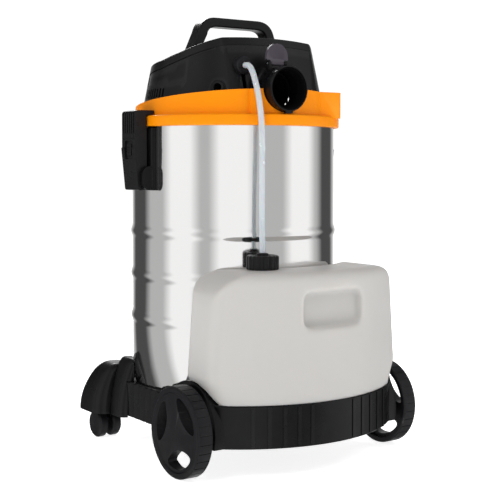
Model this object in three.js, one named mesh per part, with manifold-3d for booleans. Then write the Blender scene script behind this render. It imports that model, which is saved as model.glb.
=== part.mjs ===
// Wet and dry floor scrubber: a steel drum with a motor head, on a wheeled base that
// carries a solution tank. Millimetres, +Z up, -Y is the rear, where the tank stands.
// Every piece is drawn round the drum's axis; the whole group is then moved along Y,
// so that the origin is the middle of the object's footprint, on the floor.
import * as THREE from 'three';
import { mergeVertices } from 'three/addons/utils/BufferGeometryUtils.js';
import Module from 'manifold-3d';

// ---------- Driving dimensions ----------
const DRUM_AXIS_Y = 46; // drum axis, ahead of the footprint's middle
const GAP = 0.3; // air between pieces that touch
const SIDES = 36; // flats round every piece that shares the drum's axis
const DRUM = { r: 178, wall: 1.5, footR: 173.5, bottom: 60, shoulder: 113, top: 557 };
const BEAD = { heights: [228, 302, 376], rise: 3, width: 26 };
const LIP = { r: 187, bottom: 557.6, top: 573 };
const BAND = { r: 172, wall: 4, draft: 1.5 };
const LID_EDGE = { z: 598.5, slope: -0.1 }; // sloping top edge of the lid band
const HEAD = { r: 157, rz: 600, draft: 0.2, wall: 3, flangeR: 167.5 };
const FACET = { y: -141, z: 604, lean: 0.3, bowR: 420 }; // rear face of the head
// (y, z) points along the head's top
const CROWN = [[-124, 709], [-87, 696], [-40, 679], [0, 669], [66, 663.5], [112, 651], [150, 628]];
const COVER_DEPTH = 15; // height of the top cover's rim
const HANDLE = { foot: 110, shoulder: 80, crown: 44, leg: 18, depth: 26, top: 746, y: -2 };
const PORT = { x: -12, z: 615, boreR: 32.6, tubeR: 34.9, collarR: 37.5, mouth: -184 };
const ELBOW = { outer: 31, bore: 28, bend: 37, lead: 6, y: -100, bottom: 552 };
const LEVER = { half: 22, thick: 5, y: -147.5, hinge: 657.5, top: 691 };
const GROMMET = { x: -64, z: 654, r: 15, neck: 9.7, bore: 5.4, face: -131 };
const SOCKET = { angle: 227, z: 617, outer: 12, bore: 6.5, from: 138, to: 161 };
const INLET_GLAND = { r: 6.5, z: 590.5 }; // power cord's gland at the front of the head
const TANK = { outerR: 260.5, arcY: -26, innerR: 184, half: 175, cornerR: 34, front: -138 };
const TANK_Z = { bottom: 66, top: 323, round: 16, wall: 3.5 };
// The tank's ends: narrow up to the waist, widest at the belly, and rounded off at the top.
const TANK_ENDS = { horn: 122, waist: 119.5, belly: 157, swell: 15, atTop: 2, round: 45, roundX: 135 };
const RECESS = { x: 6, half: 59, low: 235, high: 291, floor: -265, corner: 14 };
const CAP = { x: -76, y: -198, r: 26.5, low: 323.4, high: 346, neckR: 21, neckTop: 338 };
const BASE = { half: 180, bottom: 51, sideTop: 112, rearTop: 119, rearR: 264, rearY: -26, frontR: 189 };
const ARCH = { y: -152, r: 75.5, x0: 138, x1: 186, clear: 1 };
const WHEEL = { r: 72.6, width: 28, x: 209, y: -165, rim: 9, web: 12, bore: 6.15 };
const AXLE_R = 6;
const CASTER = { x: 179, stemY: 162, trail: 12, r: 24.5, width: 17, gap: 9, stemR: 5 };
const HOOD = { x: 179, half: 36, y0: 106, y1: 198, corner: 26, bottom: 49, top: 136, wall: 3, lean: 0.4 };
const LOBE = { x0: 148, x1: 193, y0: 60, y1: 114, corner: 17, top: 150, lean: 0.5 }; // rear lobe of the hood
const LATCH = { half: 23, outer: 210, top: 581, foot: 448, pivotX: 192, pivotZ: 466, knuckleR: 8.5, pinR: 3 };
const CHEEK = { x: 187, z: 468, r: 14, rise: 6, y0: 24.3, y1: 31 }; // sides of the latch bracket
const ROCKER = { x: 19, y: 88, half: 11, tilt: 8, depth: 4 };
const TUBE = { r: 5, sides: 8, steps: 20 };
const MOTOR = { x: 0, y: 10, fanR: 66, shroudR: 75, canR: 46, floor: 577 };

// Free run of the solution tube, from the grommet's face down to the tank cap's gland.
const TUBE_ROUTE = [
  [-64.0, -131.3, 654.0],
  [-64.3, -142.0, 652.5],
  [-64.9, -152.5, 643.8],
  [-66.0, -164.0, 624.5],
  [-67.4, -175.0, 599.0],
  [-69.2, -184.5, 566.0],
  [-70.8, -189.5, 530.0],
  [-73.2, -192.5, 466.0],
  [-75.0, -195.0, 405.0],
  [-75.8, -197.3, 370.0],
  [-76.0, -198.0, 349.6],
];

// ---------- Materials ----------
const finish = (color, roughness, metalness) =>
  new THREE.MeshStandardMaterial({ color, roughness, metalness });
const BLACK = finish(0x1c1c20, 0.45, 0);
const RUBBER = finish(0x141416, 0.85, 0);
const ORANGE = finish(0xff9905, 0.4, 0);
const STEEL = finish(0xc9cacc, 0.14, 1);
const AXLE_STEEL = finish(0x9a9ca0, 0.35, 1);
const TANK_WHITE = finish(0xdcd8d0, 0.5, 0);
const CLEAR = finish(0xe6ebee, 0.25, 0);
const FOAM = finish(0x3a4046, 0.95, 0);
const COPPER = finish(0xb06a35, 0.4, 1);
const FLOAT_WHITE = finish(0xf0efe8, 0.4, 0);

const wasm = await Module();
wasm.setup();
const model = new THREE.Group();
model.position.set(0, DRUM_AXIS_Y, 0);

// ---------- Geometry helpers ----------
// Merges shared vertices and drops triangles that have no area.
function weld(geometry) {
  const source = geometry.clone();
  for (const name of Object.keys(source.attributes)) {
    if (name !== 'position') source.deleteAttribute(name);
  }
  const merged = mergeVertices(source, 1e-3);
  const from = merged.index.array;
  const index = [];
  for (let i = 0; i < from.length; i += 3) {
    const [a, b, c] = [from[i], from[i + 1], from[i + 2]];
    if (a !== b && b !== c && c !== a) index.push(a, b, c);
  }
  merged.setIndex(index);
  return merged;
}

function solid(geometry) {
  const g = weld(geometry);
  return new wasm.Manifold(new wasm.Mesh({
    numProp: 3,
    vertProperties: new Float32Array(g.attributes.position.array),
    triVerts: new Uint32Array(g.index.array),
  }));
}

function geometryOf(manifold) {
  const mesh = manifold.getMesh();
  const g = new THREE.BufferGeometry();
  g.setAttribute('position', new THREE.BufferAttribute(new Float32Array(mesh.vertProperties), 3));
  g.setIndex([...mesh.triVerts]);
  return g;
}

function join(...geometries) {
  const [first, ...rest] = geometries.map(solid);
  return geometryOf(rest.reduce((sum, piece) => sum.add(piece), first));
}

function cut(geometry, ...tools) {
  return geometryOf(tools.map(solid).reduce((left, tool) => left.subtract(tool), solid(geometry)));
}

function common(...geometries) {
  const [first, ...rest] = geometries.map(solid);
  return geometryOf(rest.reduce((left, piece) => left.intersect(piece), first));
}

function add(name, geometry, material) {
  const g = weld(geometry);
  g.computeVertexNormals();
  const mesh = new THREE.Mesh(g, material);
  mesh.name = name;
  model.add(mesh);
}

// A box from its low corner to its high corner.
function block(x0, y0, z0, x1, y1, z1) {
  const g = new THREE.BoxGeometry(x1 - x0, y1 - y0, z1 - z0);
  return g.translate((x0 + x1) / 2, (y0 + y1) / 2, (z0 + z1) / 2);
}

// A profile of (radius, height) points, turned about Z; outer side goes up, inner side down.
function turned(profile, segments = 32) {
  const points = profile.map(([r, z]) => new THREE.Vector2(r, z));
  return new THREE.LatheGeometry(points, segments).rotateX(Math.PI / 2);
}

function ring(outer, inner, z0, z1, segments = 24) {
  return turned([[inner, z0], [outer, z0], [outer, z1], [inner, z1], [inner, z0]], segments);
}

function rod(r, z0, z1, segments = 24) {
  return turned([[0, z0], [r, z0], [r, z1], [0, z1]], segments);
}

// Turn a piece drawn along Z so that it lies along X, or along Y.
const alongX = (g) => g.rotateY(Math.PI / 2);
const alongY = (g) => g.rotateX(-Math.PI / 2);

// The outline's points, without those that repeat their neighbour.
function cleanOutline(shape, curveSegments) {
  const points = shape.getPoints(curveSegments);
  const kept = points.filter((p, i) => {
    const next = points[(i + 1) % points.length];
    return p.distanceTo(next) > 0.01;
  });
  return new THREE.Shape(kept);
}

// A plan outline raised from z0 to z1, with its edges rounded by the given radius.
function raised(shape, z0, z1, round = 0, curveSegments = 12, bevelSegments = 2, steps = 1) {
  const g = new THREE.ExtrudeGeometry(cleanOutline(shape, curveSegments), {
    depth: z1 - z0 - 2 * round,
    steps,
    bevelEnabled: round > 0,
    bevelSize: round,
    bevelThickness: round,
    bevelOffset: -round,
    bevelSegments,
  });
  return g.translate(0, 0, z0 + round);
}

// A side outline in (y, z), swept from x0 to x1.
function sweptX(points, x0, x1) {
  const shape = new THREE.Shape(points.map(([y, z]) => new THREE.Vector2(y, z)));
  const g = new THREE.ExtrudeGeometry(shape, { depth: x1 - x0, bevelEnabled: false });
  g.rotateY(Math.PI / 2);
  g.rotateX(Math.PI / 2);
  return g.translate(x0, 0, 0);
}

function roundedRect(x0, y0, x1, y1, r) {
  const s = new THREE.Shape();
  s.moveTo(x0 + r, y0);
  s.lineTo(x1 - r, y0);
  s.absarc(x1 - r, y0 + r, r, -Math.PI / 2, 0);
  s.lineTo(x1, y1 - r);
  s.absarc(x1 - r, y1 - r, r, 0, Math.PI / 2);
  s.lineTo(x0 + r, y1);
  s.absarc(x0 + r, y1 - r, r, Math.PI / 2, Math.PI);
  s.lineTo(x0, y0 + r);
  s.absarc(x0 + r, y0 + r, r, Math.PI, 1.5 * Math.PI);
  return s;
}

function mirrorX(geometry) {
  const g = weld(geometry);
  g.scale(-1, 1, 1);
  const index = [...g.index.array];
  for (let i = 0; i < index.length; i += 3) {
    [index[i], index[i + 1]] = [index[i + 1], index[i]];
  }
  g.setIndex(index);
  return g;
}

// Adds a piece drawn on the +X side and its mirror image on the -X side.
function addPair(name, geometry, material) {
  add(`${name}_right`, geometry, material);
  add(`${name}_left`, mirrorX(geometry), material);
}

// ---------- Solution tank outline, shared with its pocket in the base ----------
// Kidney plan: round outer face, concave face against the drum, pulled in by an inset.
function kidney(inset) {
  const outer = TANK.outerR - inset;
  const inner = TANK.innerR + inset;
  const half = TANK.half - inset;
  const front = TANK.front - inset;
  const corner = TANK.cornerR - inset;
  const cy = TANK.arcY - Math.sqrt((outer - corner) ** 2 - (half - corner) ** 2);
  const cornerAngle = Math.atan2(cy - TANK.arcY, half - corner);
  const hornX = Math.sqrt(inner ** 2 - front ** 2);
  const innerAngle = Math.atan2(front, hornX);
  const r = 20 - inset;
  const s = new THREE.Shape();
  s.moveTo(hornX, front);
  s.lineTo(half - r, front);
  s.absarc(half - r, front - r, r, Math.PI / 2, 0, true);
  s.lineTo(half, cy);
  s.absarc(half - corner, cy, corner, 0, cornerAngle, true);
  s.absarc(0, TANK.arcY, outer, cornerAngle, -Math.PI - cornerAngle, true);
  s.absarc(corner - half, cy, corner, -Math.PI - cornerAngle, -Math.PI, true);
  s.lineTo(-half, front - r);
  s.absarc(r - half, front - r, r, Math.PI, Math.PI / 2, true);
  s.absarc(0, 0, inner, -Math.PI - innerAngle, innerAngle, false);
  return s;
}

// ---------- Base ----------
function baseOutline(inset) {
  const r = BASE.rearR - inset;
  const half = BASE.half - inset;
  const corner = Math.atan2(-202, 170);
  const s = new THREE.Shape();
  s.moveTo(-half, 96);
  s.lineTo(-half, -200);
  s.quadraticCurveTo(-half, -219, -r * Math.cos(corner), BASE.rearY + r * Math.sin(corner));
  s.absarc(0, BASE.rearY, r, -Math.PI - corner, corner, false);
  s.quadraticCurveTo(half, -219, half, -200);
  s.lineTo(half, 96);
  s.absarc(0, 0, BASE.frontR - inset, 0.58, Math.PI - 0.58, false);
  return s;
}

function armBlock(margin) {
  return block(110 - margin, 118 - margin, 56 - margin, 196 + margin, 176 + margin, 88 + margin);
}

// Round housing over each rear axle; it rises beside the wheel.
function archDisc(x0, x1, r) {
  return alongX(rod(r, x0, x1, 28)).translate(0, ARCH.y, WHEEL.r);
}

function baseTray() {
  const plan = raised(baseOutline(0), BASE.bottom, BASE.sideTop, 0, 12);
  const rear = common(
    raised(baseOutline(0), BASE.bottom, BASE.rearTop, 0, 12),
    block(-200, -300, 40, 200, -96, 130),
  );
  const arch = cut(archDisc(ARCH.x0, ARCH.x1, ARCH.r), block(0, -300, -50, 300, 0, BASE.bottom));
  const arm = armBlock(0);
  const whole = join(plan, rear, arch, mirrorX(arch), arm, mirrorX(arm));
  const pocket = cut(
    raised(kidney(-0.7), TANK_Z.bottom - 0.5, 200, 0, 4),
    arch,
    mirrorX(arch),
  );
  const bush = rod(8.3, 40, 100, 16).translate(CASTER.x, CASTER.stemY, 0);
  const axle = alongX(rod(AXLE_R + 0.3, ARCH.x0 + 14, 240, 16)).translate(0, WHEEL.y, WHEEL.r);
  return cut(
    whole,
    rod(DRUM.footR + 0.7, DRUM.bottom - 0.5, 200, SIDES),
    rod(DRUM.r + 0.7, DRUM.shoulder - 0.6, 200, SIDES),
    pocket,
    bush,
    mirrorX(bush),
    axle,
    mirrorX(axle),
  );
}

// Narrows a piece towards the corner (x0, y0) as it rises from the hood's bottom to top.
function leanIn(geometry, x0, y0, top, leanX, leanY) {
  const g = weld(geometry);
  const p = g.attributes.position;
  for (let i = 0; i < p.count; i += 1) {
    const rise = Math.max(0, (p.getZ(i) - HOOD.bottom) / (top - HOOD.bottom));
    p.setX(i, x0 + (p.getX(i) - x0) * (1 - leanX * rise ** 2));
    p.setY(i, y0 + (p.getY(i) - y0) * (1 - leanY * rise ** 2));
  }
  return g;
}

// Rear lobe of the hood; it climbs the drum's side between the caster and the side wall.
function hoodLobe() {
  const { x0, x1, y0, y1, corner, top, lean } = LOBE;
  const outline = roundedRect(x0, y0, x1, y1, corner);
  const lobe = leanIn(raised(outline, HOOD.bottom - 12, top, 12, 3), x0, y0, top, lean, 0);
  return cut(lobe, block(100, 0, 30, BASE.half + 2 * GAP, HOOD.y0 + 2, BASE.sideTop + GAP));
}

function casterHood() {
  const { x, half, y0, y1, corner, bottom, top, wall } = HOOD;
  const outline = (inset) =>
    roundedRect(x - half + inset, y0 + inset, x + half - inset, y1 - inset, corner - inset);
  const outer = raised(outline(0), bottom - 18, top, 18, 3);
  const inner = raised(outline(wall), bottom - 18 - wall, top - wall, 15, 3, 1);
  const lean = (g) => leanIn(g, x - half, y0, top, HOOD.lean, HOOD.lean);
  return cut(
    join(cut(lean(outer), lean(inner)), hoodLobe()),
    block(100, 20, 0, 240, 220, bottom),
    rod(BASE.frontR + 2 * GAP, 30, BASE.sideTop + GAP, SIDES),
    rod(DRUM.r + 0.6, 30, 200, SIDES),
    armBlock(GAP),
  );
}

// One lens-shaped window of a rear wheel, centred on +X.
function wheelLens() {
  const rim = 57.5;
  const far = 81.8;
  const bulge = 53.8;
  const a = 0.715;
  const b = Math.atan2(rim * Math.sin(a), rim * Math.cos(a) - far);
  const steps = 5;
  const points = [];
  for (let i = 0; i < steps; i += 1) {
    const t = -a + (2 * a * i) / steps;
    points.push(new THREE.Vector2(rim * Math.cos(t), rim * Math.sin(t)));
  }
  for (let i = 0; i < steps; i += 1) {
    const t = b + ((2 * Math.PI - 2 * b) * i) / steps;
    points.push(new THREE.Vector2(far + bulge * Math.cos(t), bulge * Math.sin(t)));
  }
  return new THREE.Shape(points);
}

function rearWheel() {
  const h = WHEEL.width / 2;
  const web = WHEEL.web / 2;
  const profile = [
    [0, 2.5],
    [WHEEL.bore, 2.5],
    [WHEEL.bore, -h + 2],
    [15, -h + 2],
    [18, -web],
    [WHEEL.r - WHEEL.rim, -web],
    [WHEEL.r - WHEEL.rim, -h],
    [WHEEL.r - 2, -h],
    [WHEEL.r, -h + 2],
    [WHEEL.r, h - 3],
    [WHEEL.r - 3, h],
    [WHEEL.r - WHEEL.rim, h],
    [WHEEL.r - WHEEL.rim - 2, h - 3],
    [0, h - 3],
  ];
  const windows = [15, 135, 255].map((deg) => {
    const lens = raised(wheelLens(), -h - 1, h + 1, 0, 8);
    return lens.rotateZ(Math.PI / 2 + THREE.MathUtils.degToRad(deg));
  });
  return alongX(cut(turned(profile, 32), ...windows)).translate(WHEEL.x, WHEEL.y, WHEEL.r);
}

function rearAxle() {
  const start = ARCH.x0 + 14 + GAP;
  return alongX(rod(AXLE_R, start, WHEEL.x + 2.2, 16)).translate(0, WHEEL.y, WHEEL.r);
}

function casterFork() {
  const { x, stemY, trail, r, stemR, gap, width } = CASTER;
  const y = stemY - trail;
  const stem = rod(stemR, 49, 86, 12).translate(x, stemY, 0);
  const plate = rod(15, 50.3, 54.5, 16).translate(x, stemY, 0);
  const side = [
    [y - 12, 18], [y - 5, 11], [y + 6, 11], [y + 16, 24], [y + 21, 52], [y + 1, 52], [y - 11, 34],
  ];
  const cheek = sweptX(side, x - gap / 2 + 0.5, x + gap / 2 - 0.5);
  const half = gap / 2 + width - 3;
  const axle = alongX(rod(3, -half, half, 12)).translate(x, y, r);
  return join(stem, plate, cheek, axle);
}

function casterWheel(sign) {
  const { x, stemY, trail, r, gap, width } = CASTER;
  const end = gap / 2 + width;
  const profile = [
    [3.2, gap / 2],
    [r - 3, gap / 2],
    [r, gap / 2 + 3],
    [r, end - 3.5],
    [r - 3.5, end],
    [0, end],
    [0, end - 2.5],
    [3.2, end - 2.5],
    [3.2, gap / 2],
  ];
  const wheel = alongX(turned(profile, 20));
  const placed = sign > 0 ? wheel : mirrorX(wheel);
  return placed.translate(x, stemY - trail, r);
}

function addBase() {
  add('base_tray', baseTray(), BLACK);
  addPair('caster_hood', casterHood(), BLACK);
  addPair('rear_axle', rearAxle(), AXLE_STEEL);
  addPair('rear_wheel', rearWheel(), RUBBER);
  addPair('caster_bush', ring(8, CASTER.stemR + 0.15, 56.3, 90, 12)
    .translate(CASTER.x, CASTER.stemY, 0), AXLE_STEEL);
  addPair('caster_fork', casterFork(), BLACK);
  addPair('caster_wheel_outer', casterWheel(1), RUBBER);
  addPair('caster_wheel_inner', casterWheel(-1), RUBBER);
}

// ---------- Drum and lid ----------
function drumProfile() {
  const { r, wall, footR, bottom, shoulder, top } = DRUM;
  const beads = BEAD.heights.flatMap((z) => [
    [r, z - BEAD.width / 2],
    [r + BEAD.rise, z],
    [r, z + BEAD.width / 2],
  ]);
  return [
    [0, bottom],
    [footR - 5, bottom],
    [footR, bottom + 5],
    [footR, shoulder],
    [r, shoulder + 4],
    ...beads,
    [r, top],
    [r - wall, top],
    [r - wall, shoulder + 5],
    [footR - wall, shoulder],
    [footR - wall, bottom + 5],
    [footR - 6, bottom + wall],
    [0, bottom + wall],
  ];
}

// Everything under the lid band's sloping top edge, lifted by an amount.
function underLidEdge(lift) {
  const { z, slope } = LID_EDGE;
  const side = [
    [-260, 500],
    [260, 500],
    [260, z + slope * 260 + lift],
    [-260, z - slope * 260 + lift],
  ];
  return sweptX(side, -260, 260);
}

function portHole(r, y0, y1) {
  return alongY(rod(r, y0, y1, 28)).translate(PORT.x, 0, PORT.z);
}

function lidRing() {
  const { r, wall, draft } = BAND;
  const profile = [
    [r - wall, LIP.bottom + 2.5],
    [DRUM.r + 1.2, LIP.bottom + 2.5],
    [DRUM.r + 1.2, LIP.bottom - 3],
    [LIP.r - 2, LIP.bottom - 3],
    [LIP.r, LIP.bottom - 1],
    [LIP.r, LIP.top - 2.5],
    [LIP.r - 2.5, LIP.top],
    [r + 1, LIP.top],
    [r - draft, 640],
    [r - wall, 640],
    [r - wall, LIP.bottom + 2.5],
  ];
  const lug = cut(block(71, -156, LIP.top - 1, 121, -110, 640), rod(r - wall, 500, 700, SIDES));
  const whole = common(join(turned(profile, SIDES), lug), underLidEdge(0));
  const groove = block(-86, -182, LIP.top + 0.5, -70, -151.3, 640);
  return cut(whole, groove, portHole(PORT.collarR + 0.8, -220, -120));
}

// Plate across the lid; the motor stands on it and the float cage hangs from it.
function lidPlate() {
  const hole = rod(ELBOW.outer + 0.5, 500, 700, 24).translate(PORT.x, ELBOW.y, 0);
  const intake = rod(15, 500, 700, 28).translate(MOTOR.x, MOTOR.y, 0);
  return cut(rod(BAND.r - BAND.wall - GAP, 569, MOTOR.floor - GAP, SIDES), hole, intake);
}

function addDrum() {
  add('drum', turned(drumProfile(), SIDES), STEEL);
  const seal = ring(DRUM.r + 0.9, BAND.r - BAND.wall + 0.5, DRUM.top + GAP, LIP.bottom + 2.2, SIDES);
  add('lid_seal', seal, RUBBER);
  add('lid_ring', lidRing(), ORANGE);
  add('lid_plate', lidPlate(), BLACK);
}

// ---------- Motor head ----------
// Everything below the head's sloping crown, lowered by an amount.
function underCrown(drop) {
  const front = CROWN.map(([y, z]) => [y, z - drop]).reverse();
  const [rearY, rearZ] = front[front.length - 1];
  return sweptX([[-220, 540], [220, 540], [178, 590 - drop], ...front,
    [rearY - 96, rearZ + 50]], -260, 260);
}

// The head's cone with its bowed rear face, pulled in by an inset; open above.
function headCore(inset) {
  const radius = (z) => HEAD.r - HEAD.draft * (z - HEAD.rz) - inset;
  const cone = turned([[0, 550], [radius(550), 550], [radius(740), 740], [0, 740]], SIDES);
  const tilt = Math.atan(FACET.lean);
  const bow = rod(FACET.bowR, -500, 500, 96).rotateX(-tilt);
  const dy = FACET.y + inset + FACET.bowR * Math.cos(tilt);
  const dz = FACET.z - FACET.bowR * Math.sin(tilt);
  return common(cone, bow.translate(0, dy, dz));
}

const headBody = (inset) => common(headCore(inset), underCrown(inset));

function louvres() {
  const slots = [];
  for (let deg = 156; deg <= 186; deg += 10) {
    const slot = block(130, -3, 601, 175, 3, 616);
    slots.push(slot.rotateZ(THREE.MathUtils.degToRad(deg)));
  }
  return slots.flatMap((slot) => [slot, mirrorX(slot)]);
}

function socketRod(r, from, to) {
  const g = alongX(rod(r, from, to, 28));
  return g.rotateZ(THREE.MathUtils.degToRad(SOCKET.angle)).translate(0, 0, SOCKET.z);
}

function headHousing() {
  const shell = cut(
    common(headCore(0), underCrown(COVER_DEPTH + GAP)),
    headCore(HEAD.wall),
    block(-260, -260, 500, 260, 260, MOTOR.floor),
  );
  const flange = common(
    ring(HEAD.flangeR, 150, MOTOR.floor, 640, SIDES),
    underLidEdge(-1.5),
  );
  const openFlange = cut(
    flange,
    portHole(PORT.collarR + 0.8, -220, -125),
    headCore(HEAD.wall),
  );
  return cut(
    join(shell, openFlange),
    portHole(PORT.tubeR + 0.5, -220, -90),
    alongY(rod(GROMMET.neck + GAP, -160, -90, 28)).translate(GROMMET.x, 0, GROMMET.z),
    block(-74, -150, 613.5, -66.5, -105, 641),
    socketRod(SOCKET.outer + GAP, 120, 166),
    alongY(rod(INLET_GLAND.r + GAP, 130, 165, 16)).translate(0, 0, INLET_GLAND.z),
    ...louvres(),
  );
}

function topCover() {
  const rim = cut(headBody(0), underCrown(COVER_DEPTH));
  const hollow = common(headCore(HEAD.wall), underCrown(HEAD.wall));
  const windows = [-1, 1].map((side) =>
    block(-12.5, -13, -30, 12.5, 13, 30).translate(side * ROCKER.x, ROCKER.y, 656));
  return cut(rim, hollow, ...windows);
}

function carryHandle() {
  const { foot, shoulder, crown, leg, depth, top, y } = HANDLE;
  const s = new THREE.Shape();
  s.moveTo(-foot, 655);
  s.lineTo(-shoulder, 720);
  s.quadraticCurveTo(-shoulder + 7, top, -crown, top);
  s.lineTo(crown, top);
  s.quadraticCurveTo(shoulder - 7, top, shoulder, 720);
  s.lineTo(foot, 655);
  s.lineTo(foot - leg, 655);
  s.lineTo(shoulder - leg, 716);
  s.quadraticCurveTo(shoulder - leg - 2, top - 16, crown - 4, top - 16);
  s.lineTo(4 - crown, top - 16);
  s.quadraticCurveTo(leg + 2 - shoulder, top - 16, leg - shoulder, 716);
  s.lineTo(leg - foot, 655);
  const arch = raised(s, -depth / 2, depth / 2, 4, 4);
  return cut(arch.rotateX(Math.PI / 2).translate(0, y, 0), underCrown(-GAP));
}

// Rocker switch, drawn about its pivot and left tipped to its off side.
function rocker(side) {
  const { half, tilt, depth, x, y } = ROCKER;
  const outline = [[-half + 2, -6], [half - 2, -6], [half, 1], [half, 5], [0, 2.6], [-half, 5], [-half, 1]];
  const crown = crownSlope(y);
  const g = sweptX(outline, -10.5, 10.5).rotateX(THREE.MathUtils.degToRad(tilt) + crown.tilt);
  return g.translate(side * x, y, crown.height - depth);
}

function crownSlope(y) {
  const i = CROWN.findIndex(([edge]) => edge > y);
  const [[y0, z0], [y1, z1]] = [CROWN[i - 1], CROWN[i]];
  const slope = (z1 - z0) / (y1 - y0);
  return { height: z0 + (y - y0) * slope, tilt: Math.atan(slope) };
}

// Raised bezel round the two switches, lying on the sloping crown.
function switchBezel() {
  const crown = crownSlope(ROCKER.y);
  const plate = raised(roundedRect(-40, -19, 40, 19, 5), GAP, 3.3, 1, 2, 1);
  const g = plate.rotateX(crown.tilt).translate(0, ROCKER.y, crown.height);
  const windows = [-1, 1].map((side) =>
    block(-12.5, -13, -30, 12.5, 13, 30).translate(side * ROCKER.x, ROCKER.y, 656));
  return cut(g, ...windows);
}

function tubeGrommet() {
  const { x, z, r, neck, bore, face } = GROMMET;
  const flange = cut(alongY(rod(r, face, -105, 32)).translate(x, 0, z), headCore(-GAP));
  const body = alongY(rod(neck, face + 1, -108, 28)).translate(x, 0, z);
  return cut(join(flange, body), alongY(rod(bore, -160, -90, 20)).translate(x, 0, z));
}

function addHead() {
  add('head_housing', headHousing(), BLACK);
  add('head_top_cover', topCover(), BLACK);
  add('carry_handle', carryHandle(), BLACK);
  add('switch_bezel', switchBezel(), BLACK);
  add('vacuum_switch', rocker(-1), BLACK);
  add('pump_switch', rocker(1), BLACK);
  add('cable_gland', alongY(ring(INLET_GLAND.r, 3.6, 148, 174, 16)).translate(0, 0, INLET_GLAND.z), BLACK);
  add('spray_socket', cut(socketRod(SOCKET.outer, SOCKET.from, SOCKET.to),
    socketRod(SOCKET.bore, 120, 180)), BLACK);
  add('tube_grommet', tubeGrommet(), RUBBER);
}

// ---------- Inlet ----------
function portCollar() {
  const { x, z, tubeR, collarR, mouth } = PORT;
  const tube = alongY(ring(collarR, tubeR + GAP, mouth, -124, 28)).translate(x, 0, z);
  const lug = block(x - 7, mouth, z - collarR - 3, x + 7, mouth + 6, z - collarR + 2);
  const tab = block(x - 6, mouth, z + collarR - 2, x + 6, mouth + 5, z + collarR + 3);
  const low = z + tubeR - 6;
  const ear = (side) => {
    const inner = x + side * (LEVER.half - 7.5);
    const outer = x + side * (LEVER.half - 2.5);
    return block(Math.min(inner, outer), LEVER.y - 6, low, Math.max(inner, outer), LEVER.y + 6,
      LEVER.hinge + 4);
  };
  const pin = alongX(rod(1.85, -60, 60, 16)).translate(0, LEVER.y, LEVER.hinge);
  const bore = portHole(tubeR + GAP, -220, -100);
  return cut(join(tube, lug, tab, ear(-1), ear(1)), bore, headCore(-GAP), pin);
}

// Tongue over the port; its foot turns on a pin between the collar's two ears.
function hoseLever() {
  const { half, thick, y, hinge, top } = LEVER;
  const s = new THREE.Shape();
  const wide = hinge + 6;
  s.moveTo(-half, wide);
  s.lineTo(half, wide);
  s.bezierCurveTo(half, top - 8, half - 8, top, 0, top);
  s.bezierCurveTo(8 - half, top, -half, top - 8, -half, wide);
  const blade = raised(s, -thick / 2, thick / 2, 1, 6, 1).rotateX(Math.PI / 2);
  const foot = block(-half + 8, -thick / 2, hinge, half - 8, thick / 2, wide + 2);
  const knuckle = alongX(rod(3.6, -half + 8, half - 8, 20)).translate(0, 0, hinge);
  const bore = alongX(rod(1.9, -60, 60, 16)).translate(0, 0, hinge);
  return cut(join(blade, foot, knuckle), bore).translate(PORT.x, y, 0);
}

function inletElbow() {
  const { bend, lead, y, bottom } = ELBOW;
  const points = [new THREE.Vector3(PORT.x, y - bend - lead, PORT.z)];
  for (let i = 0; i <= 8; i += 1) {
    const a = (i / 8) * (Math.PI / 2);
    points.push(new THREE.Vector3(PORT.x, y - bend + bend * Math.sin(a),
      PORT.z - bend + bend * Math.cos(a)));
  }
  points.push(new THREE.Vector3(PORT.x, y, PORT.z - bend - 12));
  points.push(new THREE.Vector3(PORT.x, y, bottom));
  const s = new THREE.Shape();
  s.absarc(0, 0, ELBOW.outer, 0, 2 * Math.PI, false);
  const hole = new THREE.Path();
  hole.absarc(0, 0, ELBOW.bore, 0, 2 * Math.PI, true);
  s.holes.push(hole);
  return new THREE.ExtrudeGeometry(s, {
    steps: 7,
    extrudePath: new THREE.CatmullRomCurve3(points),
    curveSegments: 9,
    bevelEnabled: false,
  });
}

function addInlet() {
  const { x, z, tubeR, boreR, mouth } = PORT;
  add('port_collar', portCollar(), BLACK);
  add('inlet_port', alongY(ring(tubeR, boreR, mouth + 1.5, ELBOW.y - ELBOW.bend - ELBOW.lead - 2 * GAP, 24))
    .translate(x, 0, z), BLACK);
  add('inlet_elbow', inletElbow(), BLACK);
  add('hose_lever', hoseLever(), BLACK);
  add('hose_lever_pin', alongX(rod(1.7, -LEVER.half + 2, LEVER.half - 2, 16))
    .translate(x, LEVER.y, LEVER.hinge), AXLE_STEEL);
}

// ---------- Motor, pump and float ----------
function suctionFan() {
  const { fanR, floor } = MOTOR;
  const disc = rod(fanR, floor + 5, floor + 7, 24);
  const hub = rod(11, floor + 5, floor + 22, 24);
  const blades = [];
  for (let i = 0; i < 9; i += 1) {
    const blade = block(9, -1.2, floor + 6, fanR - 2, 1.2, floor + 20);
    blades.push(blade.rotateZ((i / 9) * 2 * Math.PI));
  }
  return cut(join(disc, hub, ...blades), rod(4.15, 500, 700, 20));
}

function fanShroud() {
  const { shroudR, floor } = MOTOR;
  const bottom = floor + GAP;
  const can = turned([
    [shroudR - 3, bottom], [shroudR, bottom], [shroudR, floor + 29], [34, floor + 29],
    [34, floor + 26], [shroudR - 3, floor + 26], [shroudR - 3, bottom],
  ], 24);
  const outlets = [0, 1, 2, 3, 4, 5].map((i) =>
    block(60, -12, floor + 8, 90, 12, floor + 20).rotateZ((i / 6) * 2 * Math.PI));
  return cut(can, ...outlets);
}

function motorShaft() {
  const base = MOTOR.floor;
  return turned([
    [0, base + 2], [4, base + 2], [4, base + 36], [30, base + 36], [30, base + 60],
    [4, base + 60], [4, base + 64], [0, base + 64],
  ], 24);
}

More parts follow.
